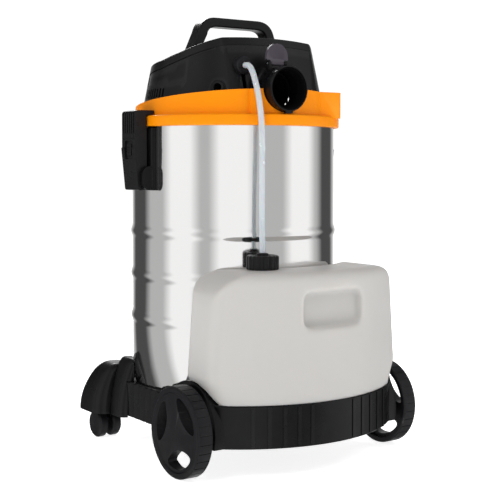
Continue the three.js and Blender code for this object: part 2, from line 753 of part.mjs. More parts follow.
function motorCan() {
  const { canR, floor } = MOTOR;
  const low = floor + 29 + GAP;
  return turned([
    [canR - 3, low], [canR, low], [canR, floor + 66], [canR - 4, floor + 69],
    [0, floor + 69], [0, floor + 66], [canR - 3, floor + 66], [canR - 3, low],
  ], 24);
}

function floatCage() {
  const cage = turned([
    [0, 488], [42, 488], [42, 568.7], [39, 568.7], [39, 491], [0, 491],
  ], 24);
  const windows = [0, 1, 2].map((i) =>
    block(-60, -13, 500, 60, 13, 558).rotateZ((i / 3) * Math.PI));
  return cut(cage, ...windows);
}

function addMachinery() {
  const { x, y, floor } = MOTOR;
  const inPlace = (g) => g.translate(x, y, 0);
  const pump = join(
    raised(roundedRect(-122, 15, -82, 50, 6), floor + GAP, 606, 0, 2),
    rod(5, 600, 616, 16).translate(-102, 32, 0),
  );
  add('fan_shroud', inPlace(fanShroud()), STEEL);
  add('suction_fan', inPlace(suctionFan()), AXLE_STEEL);
  add('motor_shaft', inPlace(motorShaft()), AXLE_STEEL);
  add('motor_stator', inPlace(ring(42.6, 31.5, floor + 34, floor + 62, 20)), COPPER);
  add('motor_can', inPlace(motorCan()), BLACK);
  add('solution_pump', pump, BLACK);
  add('float_cage', inPlace(floatCage()), BLACK);
  add('float_ball', inPlace(new THREE.SphereGeometry(18, 14, 10).rotateX(Math.PI / 2)
    .translate(0, 0, 509.4)), FLOAT_WHITE);
  add('filter_sleeve', inPlace(turned([
    [0, 470], [60, 470], [60, 568.6], [46, 568.6], [46, 482], [0, 482],
  ], 24)), FOAM);
}

// ---------- Solution tank ----------
// How much wider each end of the tank is at a height than at its bottom.
function endSpread(z) {
  const { waist, belly, swell, atTop } = TANK_ENDS;
  if (z <= belly) return swell * Math.max(0, (z - waist) / (belly - waist));
  return swell + (atTop - swell) * ((z - belly) / (TANK_Z.top - belly));
}

// Shapes the tank's ends; its face against the drum stays upright.
function shapeEnds(geometry) {
  const { horn } = TANK_ENDS;
  const g = weld(geometry);
  const p = g.attributes.position;
  for (let i = 0; i < p.count; i += 1) {
    const x = p.getX(i);
    const out = Math.max(0, (Math.abs(x) - horn) / (TANK.half - horn));
    p.setX(i, x + Math.sign(x) * endSpread(p.getZ(i)) * out);
  }
  return g;
}

// Front outline of the tank's rounded top corners, pulled in by an inset.
function topCorners(inset) {
  const { round, roundX } = TANK_ENDS;
  const z = TANK_Z.top - round;
  const r = round - inset;
  const s = new THREE.Shape();
  s.moveTo(-260, 0);
  s.lineTo(260, 0);
  s.lineTo(260, z);
  s.absarc(roundX, z, r, 0, Math.PI / 2);
  s.absarc(-roundX, z, r, Math.PI / 2, Math.PI);
  s.lineTo(-260, z);
  return raised(s, 100, 320, 0, 5).rotateX(Math.PI / 2);
}

function recessBlock(margin) {
  const { x, half, low, high, floor, corner } = RECESS;
  const s = roundedRect(-half - margin, low - margin, half + margin, high + margin, corner + margin);
  return raised(s, -floor - margin, 320, 0, 5).rotateX(Math.PI / 2).translate(x, 0, 0);
}

function solutionTank() {
  const { bottom, top, round, wall } = TANK_Z;
  const atCap = (g) => g.translate(CAP.x, CAP.y, 0);
  const arch = archDisc(ARCH.x0 - ARCH.clear, 240, ARCH.r + ARCH.clear);
  const archWall = archDisc(ARCH.x0 - 5, 240, ARCH.r + 5);
  const outer = common(shapeEnds(raised(kidney(0), bottom, top, round, 4, 3, 6)), topCorners(0));
  const inner = common(
    shapeEnds(raised(kidney(wall), bottom + wall, top - wall, round - wall, 4, 1, 6)),
    topCorners(wall),
  );
  const cavity = cut(inner, archWall, mirrorX(archWall), recessBlock(wall));
  const neck = atCap(rod(CAP.neckR, top - 8, CAP.neckTop, 32));
  const body = cut(join(outer, neck), arch, mirrorX(arch), recessBlock(0));
  return cut(body, cavity, atCap(rod(CAP.neckR - 3, top - 20, CAP.neckTop + 5, 32)));
}

function tankCap() {
  const { r, low, high, neckR } = CAP;
  return turned([
    [neckR + 0.4, low], [r, low], [r, high - 2], [r - 2, high], [8, high], [8, high - 4],
    [neckR + 0.4, high - 4], [neckR + 0.4, low],
  ], 24);
}

function addTank() {
  const atCap = (g) => g.translate(CAP.x, CAP.y, 0);
  const route = TUBE_ROUTE.map((p) => new THREE.Vector3(...p));
  const section = new THREE.Shape();
  section.absarc(0, 0, TUBE.r, 0, 2 * Math.PI, false);
  add('solution_tank', solutionTank(), TANK_WHITE);
  add('tank_cap', atCap(tankCap()), BLACK);
  add('cap_gland', atCap(turned([
    [5.3, 334], [7.7, 334], [7.7, CAP.high + GAP], [10, CAP.high + GAP], [10, 349.3],
    [5.3, 349.3], [5.3, 334],
  ], 16)), BLACK);
  add('dip_tube', atCap(ring(5, 3.4, 72, 333.7, 16)), CLEAR);
  add('solution_tube', new THREE.ExtrudeGeometry(section, {
    steps: TUBE.steps,
    extrudePath: new THREE.CatmullRomCurve3(route, false, 'centripetal'),
    curveSegments: TUBE.sides / 2,
    bevelEnabled: false,
  }), CLEAR);
}

// ---------- Drum latches ----------
function latchPin(r, half) {
  return alongY(rod(r, -half, half, 12)).translate(LATCH.pivotX, 0, LATCH.pivotZ);
}

function latchCheek() {
  const { x, z, r, rise, y0, y1 } = CHEEK;
  const s = new THREE.Shape();
  s.absarc(x, z + rise, r, 0, Math.PI, false);
  s.absarc(x, z - rise, r, Math.PI, 2 * Math.PI, false);
  return raised(s, -y1, -y0, 1, 10, 1).rotateX(Math.PI / 2);
}

// Plate on the drum, open at its foot, with a round-ended cheek each side of the clamp.
function latchBracket() {
  const { y0, y1 } = CHEEK;
  const plate = block(165, -y1, LATCH.foot, 184, y1, 552);
  const opening = block(160, -y0, LATCH.foot - 2, 190, y0, 479);
  const cheek = latchCheek();
  const mirrored = latchCheek().translate(0, -y0 - y1, 0);
  const hole = latchPin(LATCH.pinR + 0.2, y1 - 1.7);
  return cut(join(cut(plate, opening), cheek, mirrored), rod(DRUM.r + 0.5, 400, 600, 72), hole);
}

// The clamp: a hook over the lid's lip, a thick plate and a tail that leans in below it.
function latchClamp() {
  const { half, outer, top, foot, pivotX, pivotZ, knuckleR, pinR } = LATCH;
  const side = new THREE.Shape([
    [196, foot], [204.5, foot], [outer + 1.5, 518], [outer, 520], [outer, top], [174, top],
    [174, LIP.top + 0.5], [LIP.r + 1.2, LIP.top + 0.5], [LIP.r + 1.2, 490], [190, pivotZ],
  ].map(([x, z]) => new THREE.Vector2(x, z)));
  const body = raised(side, -half, half).rotateX(Math.PI / 2);
  const knuckle = alongY(rod(knuckleR, -half, half, 16)).translate(pivotX, 0, pivotZ);
  const recess = block(outer - 3, -13, 500, outer + 5, 13, 531);
  return cut(join(body, knuckle), latchPin(pinR + 0.3, 40), recess);
}

function addLatches() {
  addPair('latch_bracket', latchBracket(), BLACK);
  addPair('latch_clamp', latchClamp(), BLACK);
  addPair('latch_pin', latchPin(LATCH.pinR, CHEEK.y1 - 2), AXLE_STEEL);
}

addBase();
addDrum();
addHead();
addInlet();
addMachinery();
addTank();
addLatches();

export default model;
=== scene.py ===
"""Wet and dry floor scrubber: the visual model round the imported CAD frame.

Shapes are drawn in millimetres round the drum's axis, as the frame's own parts are,
and are turned into metres in the row frame when a piece is finished.
"""
import math

import bmesh
import bpy
from mathutils import Matrix, Vector


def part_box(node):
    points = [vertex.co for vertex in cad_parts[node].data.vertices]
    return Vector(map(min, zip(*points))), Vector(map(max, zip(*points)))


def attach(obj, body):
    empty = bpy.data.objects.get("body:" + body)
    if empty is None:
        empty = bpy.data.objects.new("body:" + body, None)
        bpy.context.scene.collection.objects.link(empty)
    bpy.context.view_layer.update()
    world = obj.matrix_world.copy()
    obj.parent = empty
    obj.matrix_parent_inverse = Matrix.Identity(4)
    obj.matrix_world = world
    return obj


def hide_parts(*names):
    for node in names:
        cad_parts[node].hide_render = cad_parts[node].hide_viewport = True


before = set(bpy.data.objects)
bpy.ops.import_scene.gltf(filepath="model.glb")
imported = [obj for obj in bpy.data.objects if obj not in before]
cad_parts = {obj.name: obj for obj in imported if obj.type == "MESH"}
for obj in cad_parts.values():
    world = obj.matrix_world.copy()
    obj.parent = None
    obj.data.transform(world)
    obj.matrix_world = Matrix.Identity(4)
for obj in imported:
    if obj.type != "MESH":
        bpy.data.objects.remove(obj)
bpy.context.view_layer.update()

MM = 0.001
DRUM_LOW, DRUM_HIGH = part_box("drum")
AXIS_Y = (DRUM_LOW.y + DRUM_HIGH.y) / 2  # the drum's axis, in metres
TAU = 2 * math.pi

# Main sizes, in millimetres round the drum's axis
DRUM_R = 178.0
LIP_R = 187.0
LIP_BOTTOM = 554.6
LIP_TOP = 573.0
BAND_R = 172.0
LID_EDGE_Z, LID_EDGE_SLOPE = 598.5, -0.1
PORT_X, PORT_Z = -12.0, 615.0
GROMMET_X, GROMMET_Z = -64.0, 654.0
WHEEL_R, WHEEL_Y, WHEEL_X = 72.6, -165.0, 209.0
CASTER_X, CASTER_Y, CASTER_STEM_Y, CASTER_R = 179.0, 150.0, 162.0, 24.5
REAR_ARC_Y = -26.0  # centre of the tank's and the skirt's round rear
ARCH_Y, ARCH_Z, ARCH_R = -152.0, 72.6, 75.5
ARCH_IN, ARCH_OUT = 138.0, 186.0
HINGE_Y, HINGE_Z = -147.5, 657.5  # pin of the tongue over the port
CAP_X, CAP_Y = -76.0, -198.0


# ---------- Camera ----------
CAMERA_AZIMUTH = 34.7  # degrees round the object from the rear
CAMERA_PITCH = 2.3  # degrees below level
CAMERA_PLACE = (-1.110, -1.656, 0.490)  # metres from the drum's axis


def make_camera():
    data = bpy.data.cameras.new("camera")
    data.lens = 80.64
    data.sensor_width = 36
    data.shift_y = -0.08
    camera = bpy.data.objects.new("camera", data)
    x, y, z = CAMERA_PLACE
    camera.location = (x, y + AXIS_Y, z)
    pitch = math.radians(90 - CAMERA_PITCH)
    camera.rotation_euler = (pitch, 0, math.radians(-CAMERA_AZIMUTH))
    bpy.context.scene.collection.objects.link(camera)
    bpy.context.scene.camera = camera


# ---------- Outlines ----------
def arc(cx, cy, r, start, end, steps):
    """Points of an arc, with its angles in degrees; both ends are included."""
    angles = [math.radians(start + (end - start) * i / steps) for i in range(steps + 1)]
    return [(cx + r * math.cos(a), cy + r * math.sin(a)) for a in angles]


def fillet(points, radius, steps=4, closed=True):
    """The outline with every corner rounded. A radius is one number or one per corner."""
    count = len(points)
    radii = radius if isinstance(radius, (list, tuple)) else [radius] * count
    out = []
    for i, (point, r) in enumerate(zip(points, radii)):
        if r <= 0 or (not closed and i in (0, count - 1)):
            out.append(point)
            continue
        here = Vector(point)
        back = Vector(points[i - 1]) - here
        ahead = Vector(points[(i + 1) % count]) - here
        turn = back.angle(ahead)
        reach = min(r / math.tan(turn / 2), 0.45 * back.length, 0.45 * ahead.length)
        start = here + back.normalized() * reach
        end = here + ahead.normalized() * reach
        for k in range(steps + 1):
            t = k / steps
            p = start * (1 - t) ** 2 + here * 2 * t * (1 - t) + end * t ** 2
            out.append((p.x, p.y))
    return out


def rounded_rect(x0, y0, x1, y1, r, steps=6):
    return (
        arc(x1 - r, y0 + r, r, -90, 0, steps)
        + arc(x1 - r, y1 - r, r, 0, 90, steps)
        + arc(x0 + r, y1 - r, r, 90, 180, steps)
        + arc(x0 + r, y0 + r, r, 180, 270, steps)
    )


# ---------- Solids, in millimetres ----------
def solid(verts, faces):
    """A loose object that holds one closed mesh, with its faces turned outwards."""
    mesh = bpy.data.meshes.new("shape")
    mesh.from_pydata([tuple(v) for v in verts], [], faces)
    bm = bmesh.new()
    bm.from_mesh(mesh)
    bmesh.ops.remove_doubles(bm, verts=bm.verts, dist=1e-4)
    bmesh.ops.recalc_face_normals(bm, faces=bm.faces)
    bm.to_mesh(mesh)
    bm.free()
    obj = bpy.data.objects.new("shape", mesh)
    bpy.context.scene.collection.objects.link(obj)
    return obj


def moved(obj, x=0, y=0, z=0, rx=0, ry=0, rz=0):
    """Turns a solid about X, then Y, then Z, in degrees, and then moves it."""
    turn = Matrix.Identity(4)
    for angle, axis in ((rx, "X"), (ry, "Y"), (rz, "Z")):
        turn = Matrix.Rotation(math.radians(angle), 4, axis) @ turn
    obj.data.transform(Matrix.Translation((x, y, z)) @ turn)
    return obj


def along_x(obj):
    return moved(obj, ry=90)


def along_y(obj):
    return moved(obj, rx=-90)


def mirrored(obj, across):
    """A copy mirrored across the plane at right angles to a direction."""
    twin = bpy.data.objects.new("shape", obj.data.copy())
    bpy.context.scene.collection.objects.link(twin)
    twin.data.transform(Matrix.Scale(-1, 4, across))
    twin.data.flip_normals()
    return twin


def mirror_x(obj):
    return mirrored(obj, (1, 0, 0))


def at_port(obj):
    return moved(along_y(obj), x=PORT_X, z=PORT_Z)


def at_grommet(obj):
    return moved(along_y(obj), x=GROMMET_X, z=GROMMET_Z)


def at_cap(obj):
    return moved(obj, x=CAP_X, y=CAP_Y)


def at_axle(obj):
    return moved(along_x(obj), y=WHEEL_Y, z=WHEEL_R)


def lathe(profile, segments=96):
    """A closed profile of (radius, height) turned about Z. It may start and end on the axis."""
    verts, rings = [], []
    for r, z in profile:
        if r < 1e-6:
            rings.append([len(verts)] * segments)
            verts.append((0, 0, z))
            continue
        rings.append(list(range(len(verts), len(verts) + segments)))
        for i in range(segments):
            a = TAU * i / segments
            verts.append((r * math.sin(a), -r * math.cos(a), z))
    faces = []
    count = len(profile)
    for k in range(count):
        low, high = rings[k], rings[(k + 1) % count]
        for i in range(segments):
            j = (i + 1) % segments
            face = list(dict.fromkeys([low[i], low[j], high[j], high[i]]))
            if len(face) > 2:
                faces.append(face)
    return solid(verts, faces)


def rod(r, z0, z1, segments=48, edge=0.0):
    profile = [(0, z0), (r, z0), (r, z1), (0, z1)]
    if edge:
        profile = fillet(profile, [0, edge, edge, 0], 3)
    return lathe(profile, segments)


def pipe(outer, inner, z0, z1, segments=64, edge=0.0):
    profile = [(inner, z0), (outer, z0), (outer, z1), (inner, z1)]
    if edge:
        profile = fillet(profile, edge, 3)
    return lathe(profile, segments)


def block(x0, y0, z0, x1, y1, z1):
    return prism([(x0, y0), (x1, y0), (x1, y1), (x0, y1)], z0, z1)


def prism(outline, z0, z1):
    n = len(outline)
    verts = [(x, y, z0) for x, y in outline] + [(x, y, z1) for x, y in outline]
    sides = [[i, (i + 1) % n, n + (i + 1) % n, n + i] for i in range(n)]
    return solid(verts, sides + [list(range(n)), list(range(n, 2 * n))])


def swept_x(outline, x0, x1):
    """A side outline of (y, z) points, swept across."""
    return moved(moved(prism(outline, x0, x1), ry=90), rx=90)


def swept_y(outline, y0, y1):
    """A front outline of (x, z) points, swept from front to back."""
    return moved(prism(outline, -y1, -y0), rx=90)


def layered(levels):
    """A closed skin through plan outlines with equal point counts: (outline, z) levels."""
    n = len(levels[0][0])
    verts = [(x, y, z) for outline, z in levels for x, y in outline]
    faces = [list(range(n)), list(range((len(levels) - 1) * n, len(levels) * n))]
    for k in range(len(levels) - 1):
        for i in range(n):
            j = (i + 1) % n
            faces.append([k * n + i, k * n + j, (k + 1) * n + j, (k + 1) * n + i])
    return solid(verts, faces)


def drop(obj):
    mesh = obj.data
    bpy.data.objects.remove(obj)
    bpy.data.meshes.remove(mesh)


def bake(obj):
    """Replaces a solid's mesh by what its modifiers make of it."""
    graph = bpy.context.evaluated_depsgraph_get()
    mesh = bpy.data.meshes.new_from_object(obj.evaluated_get(graph))
    old = obj.data
    obj.modifiers.clear()
    obj.data = mesh
    bpy.data.meshes.remove(old)
    return obj


def combine(operation, base, tools):
    for tool in tools:
        step = base.modifiers.new("join", "BOOLEAN")
        step.operation = operation
        step.solver = "MANIFOLD"
        step.object = tool
        bake(base)
        drop(tool)
    return base


def cut(base, *tools):
    return combine("DIFFERENCE", base, tools)


def join(base, *tools):
    return combine("UNION", base, tools)


def common(base, *tools):
    return combine("INTERSECT", base, tools)


def together(objs):
    """One object out of several that don't touch."""
    whole = bmesh.new()
    for obj in objs:
        whole.from_mesh(obj.data)
        drop(obj)
    mesh = bpy.data.meshes.new("shape")
    whole.to_mesh(mesh)
    whole.free()
    out = bpy.data.objects.new("shape", mesh)
    bpy.context.scene.collection.objects.link(out)
    return out


# ---------- Finishing a piece ----------
def tidy_mesh(mesh):
    bm = bmesh.new()
    bm.from_mesh(mesh)
    bmesh.ops.remove_doubles(bm, verts=bm.verts, dist=0.01)
    bmesh.ops.dissolve_degenerate(bm, edges=bm.edges, dist=0.01)
    bm.to_mesh(mesh)
    bm.free()


def smooth_by_angle(mesh, degrees):
    mesh.shade_smooth()
    mesh.set_sharp_from_angle(angle=math.radians(degrees))


def piece(name, obj, material, body="chassis", slot="", replaces=(), edge=0.0,
          angle=32, steps=2, crease=None):
    """Names a solid, rounds its edges, gives it its material and sets it on its body."""
    obj.name = name
    obj.data.name = name
    tidy_mesh(obj.data)
    scale = Matrix.Scale(MM, 4)
    obj.data.transform(Matrix.Translation((0, AXIS_Y, 0)) @ scale)
    obj.data.materials.clear()
    obj.data.materials.append(material)
    smooth_by_angle(obj.data, crease or angle)
    if edge:
        bevel = obj.modifiers.new("edges", "BEVEL")
        bevel.width = edge * MM
        bevel.segments = steps
        bevel.limit_method = "ANGLE"
        bevel.angle_limit = math.radians(angle)
        bevel.miter_outer = "MITER_ARC"
        bevel.harden_normals = True
    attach(obj, body)
    if replaces:
        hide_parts(*replaces)
    return obj


def pair(name, obj, material, body=None, slot="", replaces="", **finish):
    """The same piece on the right and, mirrored, on the left."""
    twin = mirror_x(obj)
    for side, shape in (("right", obj), ("left", twin)):
        on = "chassis" if body is None else f"{body}_{side}"
        stands_for = [f"{node}_{side}" for node in replaces.split()]
        piece(f"{name}_{side}", shape, material, on, slot, stands_for, **finish)


# ---------- Materials ----------
class Finish:
    """A material with one Principled shader; each method adds one procedural effect."""

    def __init__(self, name, color, roughness, **sockets):
        self.material = bpy.data.materials.new(name)
        self.material.use_nodes = True
        tree = self.material.node_tree
        self.nodes, self.links = tree.nodes, tree.links
        self.shader = self.nodes["Principled BSDF"]
        self.color = color
        self.roughness = roughness
        self.shader.inputs["Base Color"].default_value = (*color, 1)
        self.shader.inputs["Roughness"].default_value = roughness
        self.set_sockets(self.shader, sockets)
        self.place = self.nodes.new("ShaderNodeTexCoord").outputs["Object"]
        self.height = None

    @staticmethod
    def set_sockets(node, values):
        for key, value in values.items():
            node.inputs[key.replace("_", " ")].default_value = value

    def node(self, kind, **sockets):
        node = self.nodes.new(kind)
        self.set_sockets(node, sockets)
        return node

    def noise(self, scale, detail=3, stretch=(1, 1, 1)):
        mapping = self.node("ShaderNodeMapping", Scale=stretch)
        self.links.new(self.place, mapping.inputs["Vector"])
        node = self.node("ShaderNodeTexNoise", Scale=scale, Detail=detail, Roughness=0.5)
        self.links.new(mapping.outputs["Vector"], node.inputs["Vector"])
        return node.outputs["Fac"]

    def ramp(self, value, low, high, start=0.0, end=1.0):
        node = self.node("ShaderNodeMapRange", From_Min=low, From_Max=high, To_Min=start,
                         To_Max=end)
        self.links.new(value, node.inputs["Value"])
        return node.outputs["Result"]

    def tint(self, mask, color):
        """Blends the base colour towards another where the mask is high."""
        mix = self.nodes.new("ShaderNodeMix")
        mix.data_type = "RGBA"
        factor, first, second = (s for s in mix.inputs if s.enabled)
        slot = self.shader.inputs["Base Color"]
        if slot.links:
            self.links.new(slot.links[0].from_socket, first)
        else:
            first.default_value = slot.default_value
        second.default_value = (*color, 1)
        self.links.new(mask, factor)
        result = next(s for s in mix.outputs if s.enabled)
        self.links.new(result, slot)
        return self

    def mottled(self, scale, amount, color):
        mask = self.ramp(self.noise(scale, 4), 0.35, 0.75, 0, amount)
        return self.tint(mask, color)

    def painted_edge_highlight(self, color, amount=0.5):
        """Painted highlight: paler along the outer edges."""
        point = self.nodes.new("ShaderNodeNewGeometry").outputs["Pointiness"]
        mask = self.ramp(point, 0.52, 0.6, 0, amount)
        return self.tint(mask, color)

    def dusty(self, color, height, amount=0.25):
        """A film of dust that thickens towards the floor."""
        split = self.nodes.new("ShaderNodeSeparateXYZ")
        self.links.new(self.place, split.inputs[0])
        low = self.ramp(split.outputs["Z"], height, 0.0, 0, 1)
        patch = self.ramp(self.noise(35, 5), 0.4, 0.7, 0, amount)
        both = self.nodes.new("ShaderNodeMath")
        both.operation = "MULTIPLY"
        self.links.new(low, both.inputs[0])
        self.links.new(patch, both.inputs[1])
        return self.tint(both.outputs[0], color)

    def uneven_gloss(self, scale, spread, stretch=(1, 1, 1)):
        value = self.ramp(
            self.noise(scale, 4, stretch), 0.3, 0.7,
            max(0.02, self.roughness - spread), self.roughness + spread,
        )
        self.links.new(value, self.shader.inputs["Roughness"])
        return self

    def relief(self, value, strength, depth_mm):
        """Adds a bump; each further call lies on the one before."""
        bump = self.node("ShaderNodeBump", Strength=strength, Distance=depth_mm * MM)
        self.links.new(value, bump.inputs["Height"])
        if self.height is not None:
            self.links.new(self.height, bump.inputs["Normal"])
        self.height = bump.outputs["Normal"]
        self.links.new(self.height, self.shader.inputs["Normal"])
        return self

    def grain(self, scale=1400, strength=0.25, depth_mm=0.06):
        return self.relief(self.noise(scale, 2), strength, depth_mm)


def black_plastic(name, tone=0.003, blue=1.12, roughness=0.3):
    f = Finish(name, (tone, tone, tone * blue), roughness, Specular_IOR_Level=0.2)
    f.mottled(9, 0.35, (tone * 1.7, tone * 1.65, tone * 1.8))
    # Paler outer edges: a painted edge highlight.
    f.painted_edge_highlight((tone * 6, tone * 6, tone * 6.4), 0.35)
    f.uneven_gloss(24, 0.07)
    f.grain(1500, 0.35, 0.05)
    return f.relief(f.noise(22, 2), 0.12, 0.4)


def shaded_plastic():
    """Dull black without glints for the inside of the port: painted shade, a shaded copy of the
    black plastic.
    """
    f = Finish("port_inside", (0.003, 0.003, 0.003), 0.8, Specular_IOR_Level=0.04)
    f.mottled(40, 0.4, (0.005, 0.005, 0.005))
    return f.grain(900, 0.3, 0.06).material


def base_plastic():
    f = black_plastic("base_black", 0.003, 1.15, 0.3)
    return f.dusty((0.03, 0.03, 0.028), 0.14, 0.15).material


def black_rubber():
    f = Finish("black_rubber", (0.005, 0.005, 0.0065), 0.42, Specular_IOR_Level=0.22)
    f.mottled(30, 0.5, (0.009, 0.0088, 0.0105))
    # Paler outer edges: a painted edge highlight.
    f.painted_edge_highlight((0.09, 0.088, 0.09), 0.4)
    f.dusty((0.04, 0.038, 0.036), 0.12, 0.2)
    f.uneven_gloss(60, 0.1)
    return f.grain(900, 0.5, 0.08).material


def orange_plastic():
    f = Finish("orange_plastic", (0.98, 0.29, 0.0), 0.36, Specular_IOR_Level=0.14,
               Subsurface_Weight=0.08, Subsurface_Radius=(1.0, 0.35, 0.1),
               Subsurface_Scale=0.004)
    f.mottled(7, 0.18, (0.93, 0.26, 0.003))
    # Paler outer edges: a painted edge highlight.
    f.painted_edge_highlight((1.0, 0.45, 0.06), 0.3)
    f.uneven_gloss(18, 0.05)
    f.grain(1100, 0.12, 0.04)
    return f.relief(f.noise(14, 2), 0.1, 0.5).material


def drum_steel():
    f = Finish("drum_steel", (0.80, 0.795, 0.79), 0.085, Metallic=1.0)
    f.mottled(5, 0.3, (0.74, 0.735, 0.735))
    f.uneven_gloss(90, 0.03, (1, 1, 0.06))
    f.relief(f.noise(600, 3, (0.04, 0.04, 1)), 0.05, 0.02)
    return f.relief(f.noise(7, 1, (1, 1, 0.5)), 0.1, 0.6).material


def plain_steel():
    f = Finish("plain_steel", (0.55, 0.56, 0.58), 0.3, Metallic=1.0)
    f.mottled(60, 0.4, (0.42, 0.42, 0.44))
    f.uneven_gloss(200, 0.08)
    return f.relief(f.noise(1500, 3, (1, 0.05, 0.05)), 0.2, 0.03).material


def tank_plastic():
    f = Finish("tank_plastic", (0.58, 0.568, 0.55), 0.42, Specular_IOR_Level=0.2,
               Subsurface_Weight=0.45, Subsurface_Radius=(1.0, 0.85, 0.7),
               Subsurface_Scale=0.018)
    f.mottled(6, 0.25, (0.545, 0.53, 0.505))
    f.mottled(40, 0.12, (0.61, 0.60, 0.585))
    f.uneven_gloss(16, 0.06)
    f.grain(700, 0.1, 0.06)
    return f.relief(f.noise(9, 2), 0.25, 1.2).material


def clear_tube():
    f = Finish("clear_tube", (0.72, 0.78, 0.82), 0.22, Transmission_Weight=0.3, IOR=1.42,
               Subsurface_Weight=0.3, Subsurface_Scale=0.004)
    f.mottled(50, 0.4, (0.86, 0.89, 0.91))
    f.uneven_gloss(80, 0.06)
    return f.relief(f.noise(260, 2), 0.12, 0.08).material


def lever_plastic():
    # Grey-purple tone: partly the lever's own colour, partly painted light for its face turned
    # up and out.
    f = Finish("lever_grey_painted_light", (0.050, 0.040, 0.055), 0.5, Specular_IOR_Level=0.4)
    f.mottled(25, 0.4, (0.066, 0.055, 0.07))
    # Paler outer edges: a painted edge highlight.
    f.painted_edge_highlight((0.16, 0.15, 0.17), 0.3)
    f.uneven_gloss(40, 0.08)
    return f.grain(1300, 0.35, 0.05).material


def switch_plastic():
    f = Finish("switch_black", (0.02, 0.02, 0.022), 0.18, Coat_Weight=0.3)
    f.mottled(80, 0.4, (0.035, 0.034, 0.036))
    f.uneven_gloss(120, 0.06)
    return f.relief(f.noise(300, 2), 0.06, 0.05).material


def copper_wire():
    f = Finish("copper_winding", (0.6, 0.24, 0.09), 0.35, Metallic=0.9)
    f.mottled(90, 0.6, (0.36, 0.13, 0.05))
    return f.relief(f.noise(900, 2, (1, 1, 0.1)), 0.6, 0.3).material


def foam():
    f = Finish("filter_foam", (0.045, 0.05, 0.058), 0.95)
    f.mottled(200, 0.7, (0.02, 0.022, 0.026))
    return f.relief(f.noise(900, 4), 1.0, 0.6).material


def white_float():
    f = Finish("float_white", (0.8, 0.79, 0.75), 0.35)
    f.mottled(60, 0.4, (0.72, 0.7, 0.64))
    return f.relief(f.noise(300, 2), 0.1, 0.1).material


def pale_floor():
    f = Finish("pale_floor", (0.93, 0.93, 0.93), 0.5, Specular_IOR_Level=0.2,
               Emission_Color=(1, 1, 1, 1), Emission_Strength=0.85)
    f.mottled(2, 0.2, (0.9, 0.9, 0.905))
    return f.uneven_gloss(3, 0.08).material


BLACK = black_plastic("black_plastic").material
HEAD_BLACK = black_plastic("head_black", 0.004, 1.05, 0.32).material
BASE_BLACK = base_plastic()
# Painted shade: a dull copy of the black plastic for the inside of the port.
PORT_INSIDE = shaded_plastic()
RUBBER = black_rubber()
ORANGE = orange_plastic()
DRUM_STEEL = drum_steel()
STEEL = plain_steel()
TANK = tank_plastic()
TUBE = clear_tube()
LEVER = lever_plastic()
SWITCH = switch_plastic()


# ---------- Solution tube ----------
TUBE_ROUTE = [
    (-64.0, -131.3, 654.0),
    (-64.3, -142.0, 652.5),
    (-64.9, -152.5, 643.8),
    (-66.0, -164.0, 624.5),
    (-67.4, -175.0, 599.0),
    (-69.2, -184.5, 566.0),
    (-70.8, -189.5, 530.0),
    (-73.2, -192.5, 466.0),
    (-75.0, -195.0, 405.0),
    (-75.8, -197.3, 370.0),
    (-76.0, -198.0, 349.6),
]
TUBE_DIAMETER = 0.010


def in_metres(point):
    x, y, z = point
    return Vector((x * MM, y * MM + AXIS_Y, z * MM))


def smooth_route(points, steps=6):
    """A smooth line through every point."""
    ends = [points[0] * 2 - points[1], *points, points[-1] * 2 - points[-2]]
    out = []
    for a, b, c, d in zip(ends, ends[1:], ends[2:], ends[3:]):
        for i in range(steps):
            t = i / steps
            out.append(0.5 * (
                2 * b + (c - a) * t
                + (2 * a - 5 * b + 4 * c - d) * t ** 2
                + (3 * b - a - 3 * c + d) * t ** 3
            ))
    return [*out, points[-1]]


def make_tube():
    route = smooth_route([in_metres(p) for p in TUBE_ROUTE])
    curve = bpy.data.curves.new("solution_hose", "CURVE")
    curve.dimensions = "3D"
    curve.bevel_depth = TUBE_DIAMETER / 2
    curve.bevel_resolution = 6
    curve.use_fill_caps = True
    line = curve.splines.new("POLY")
    line.points.add(len(route) - 1)
    for point, place in zip(line.points, route):
        point.co = (*place, 1)
    curve.materials.append(TUBE)
    hose = bpy.data.objects.new("solution_hose", curve)
    bpy.context.scene.collection.objects.link(hose)
    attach(hose, "chassis")
    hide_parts("solution_tube")


make_camera()
make_tube()


# ---------- Drum and lid ----------
def make_drum():
    wall, foot, low, shoulder, top = 1.5, 173.5, 60.0, 113.0, 556.5
    beads, width, rise = (228, 302, 376), 26.0, 3.0
    outside = [(0, low), (foot - 6, low)]
    outside += arc(foot - 6, low + 6, 6, -90, 0, 5)
    outside += [(foot, shoulder - 1), (foot + 1.2, shoulder + 2), (DRUM_R, shoulder + 5)]
    for z in beads:
        for i in range(13):
            t = i / 12 - 0.5
            outside.append((DRUM_R + rise * math.cos(math.pi * t) ** 2, z + width * t))
    outside += [(DRUM_R, top), (DRUM_R - wall, top)]
    inside = [(DRUM_R - wall, shoulder + 6), (foot - wall, shoulder), (foot - wall, low + 6)]
    inside += [(foot - 7, low + wall), (0, low + wall)]
    piece("drum_shell", lathe(outside + inside, 192), DRUM_STEEL, slot="drum_steel",
          replaces=["drum"], angle=50)


def under_lid_edge(lift=0.0):
    """Everything below the lid band's sloping top edge."""
    z, slope = LID_EDGE_Z + lift, LID_EDGE_SLOPE
    return swept_x([(-260, 500), (260, 500), (260, z + 260 * slope), (-260, z - 260 * slope)],
                   -260, 260)


def port_hole(r, y0, y1):
    return at_port(rod(r, y0, y1, 96))


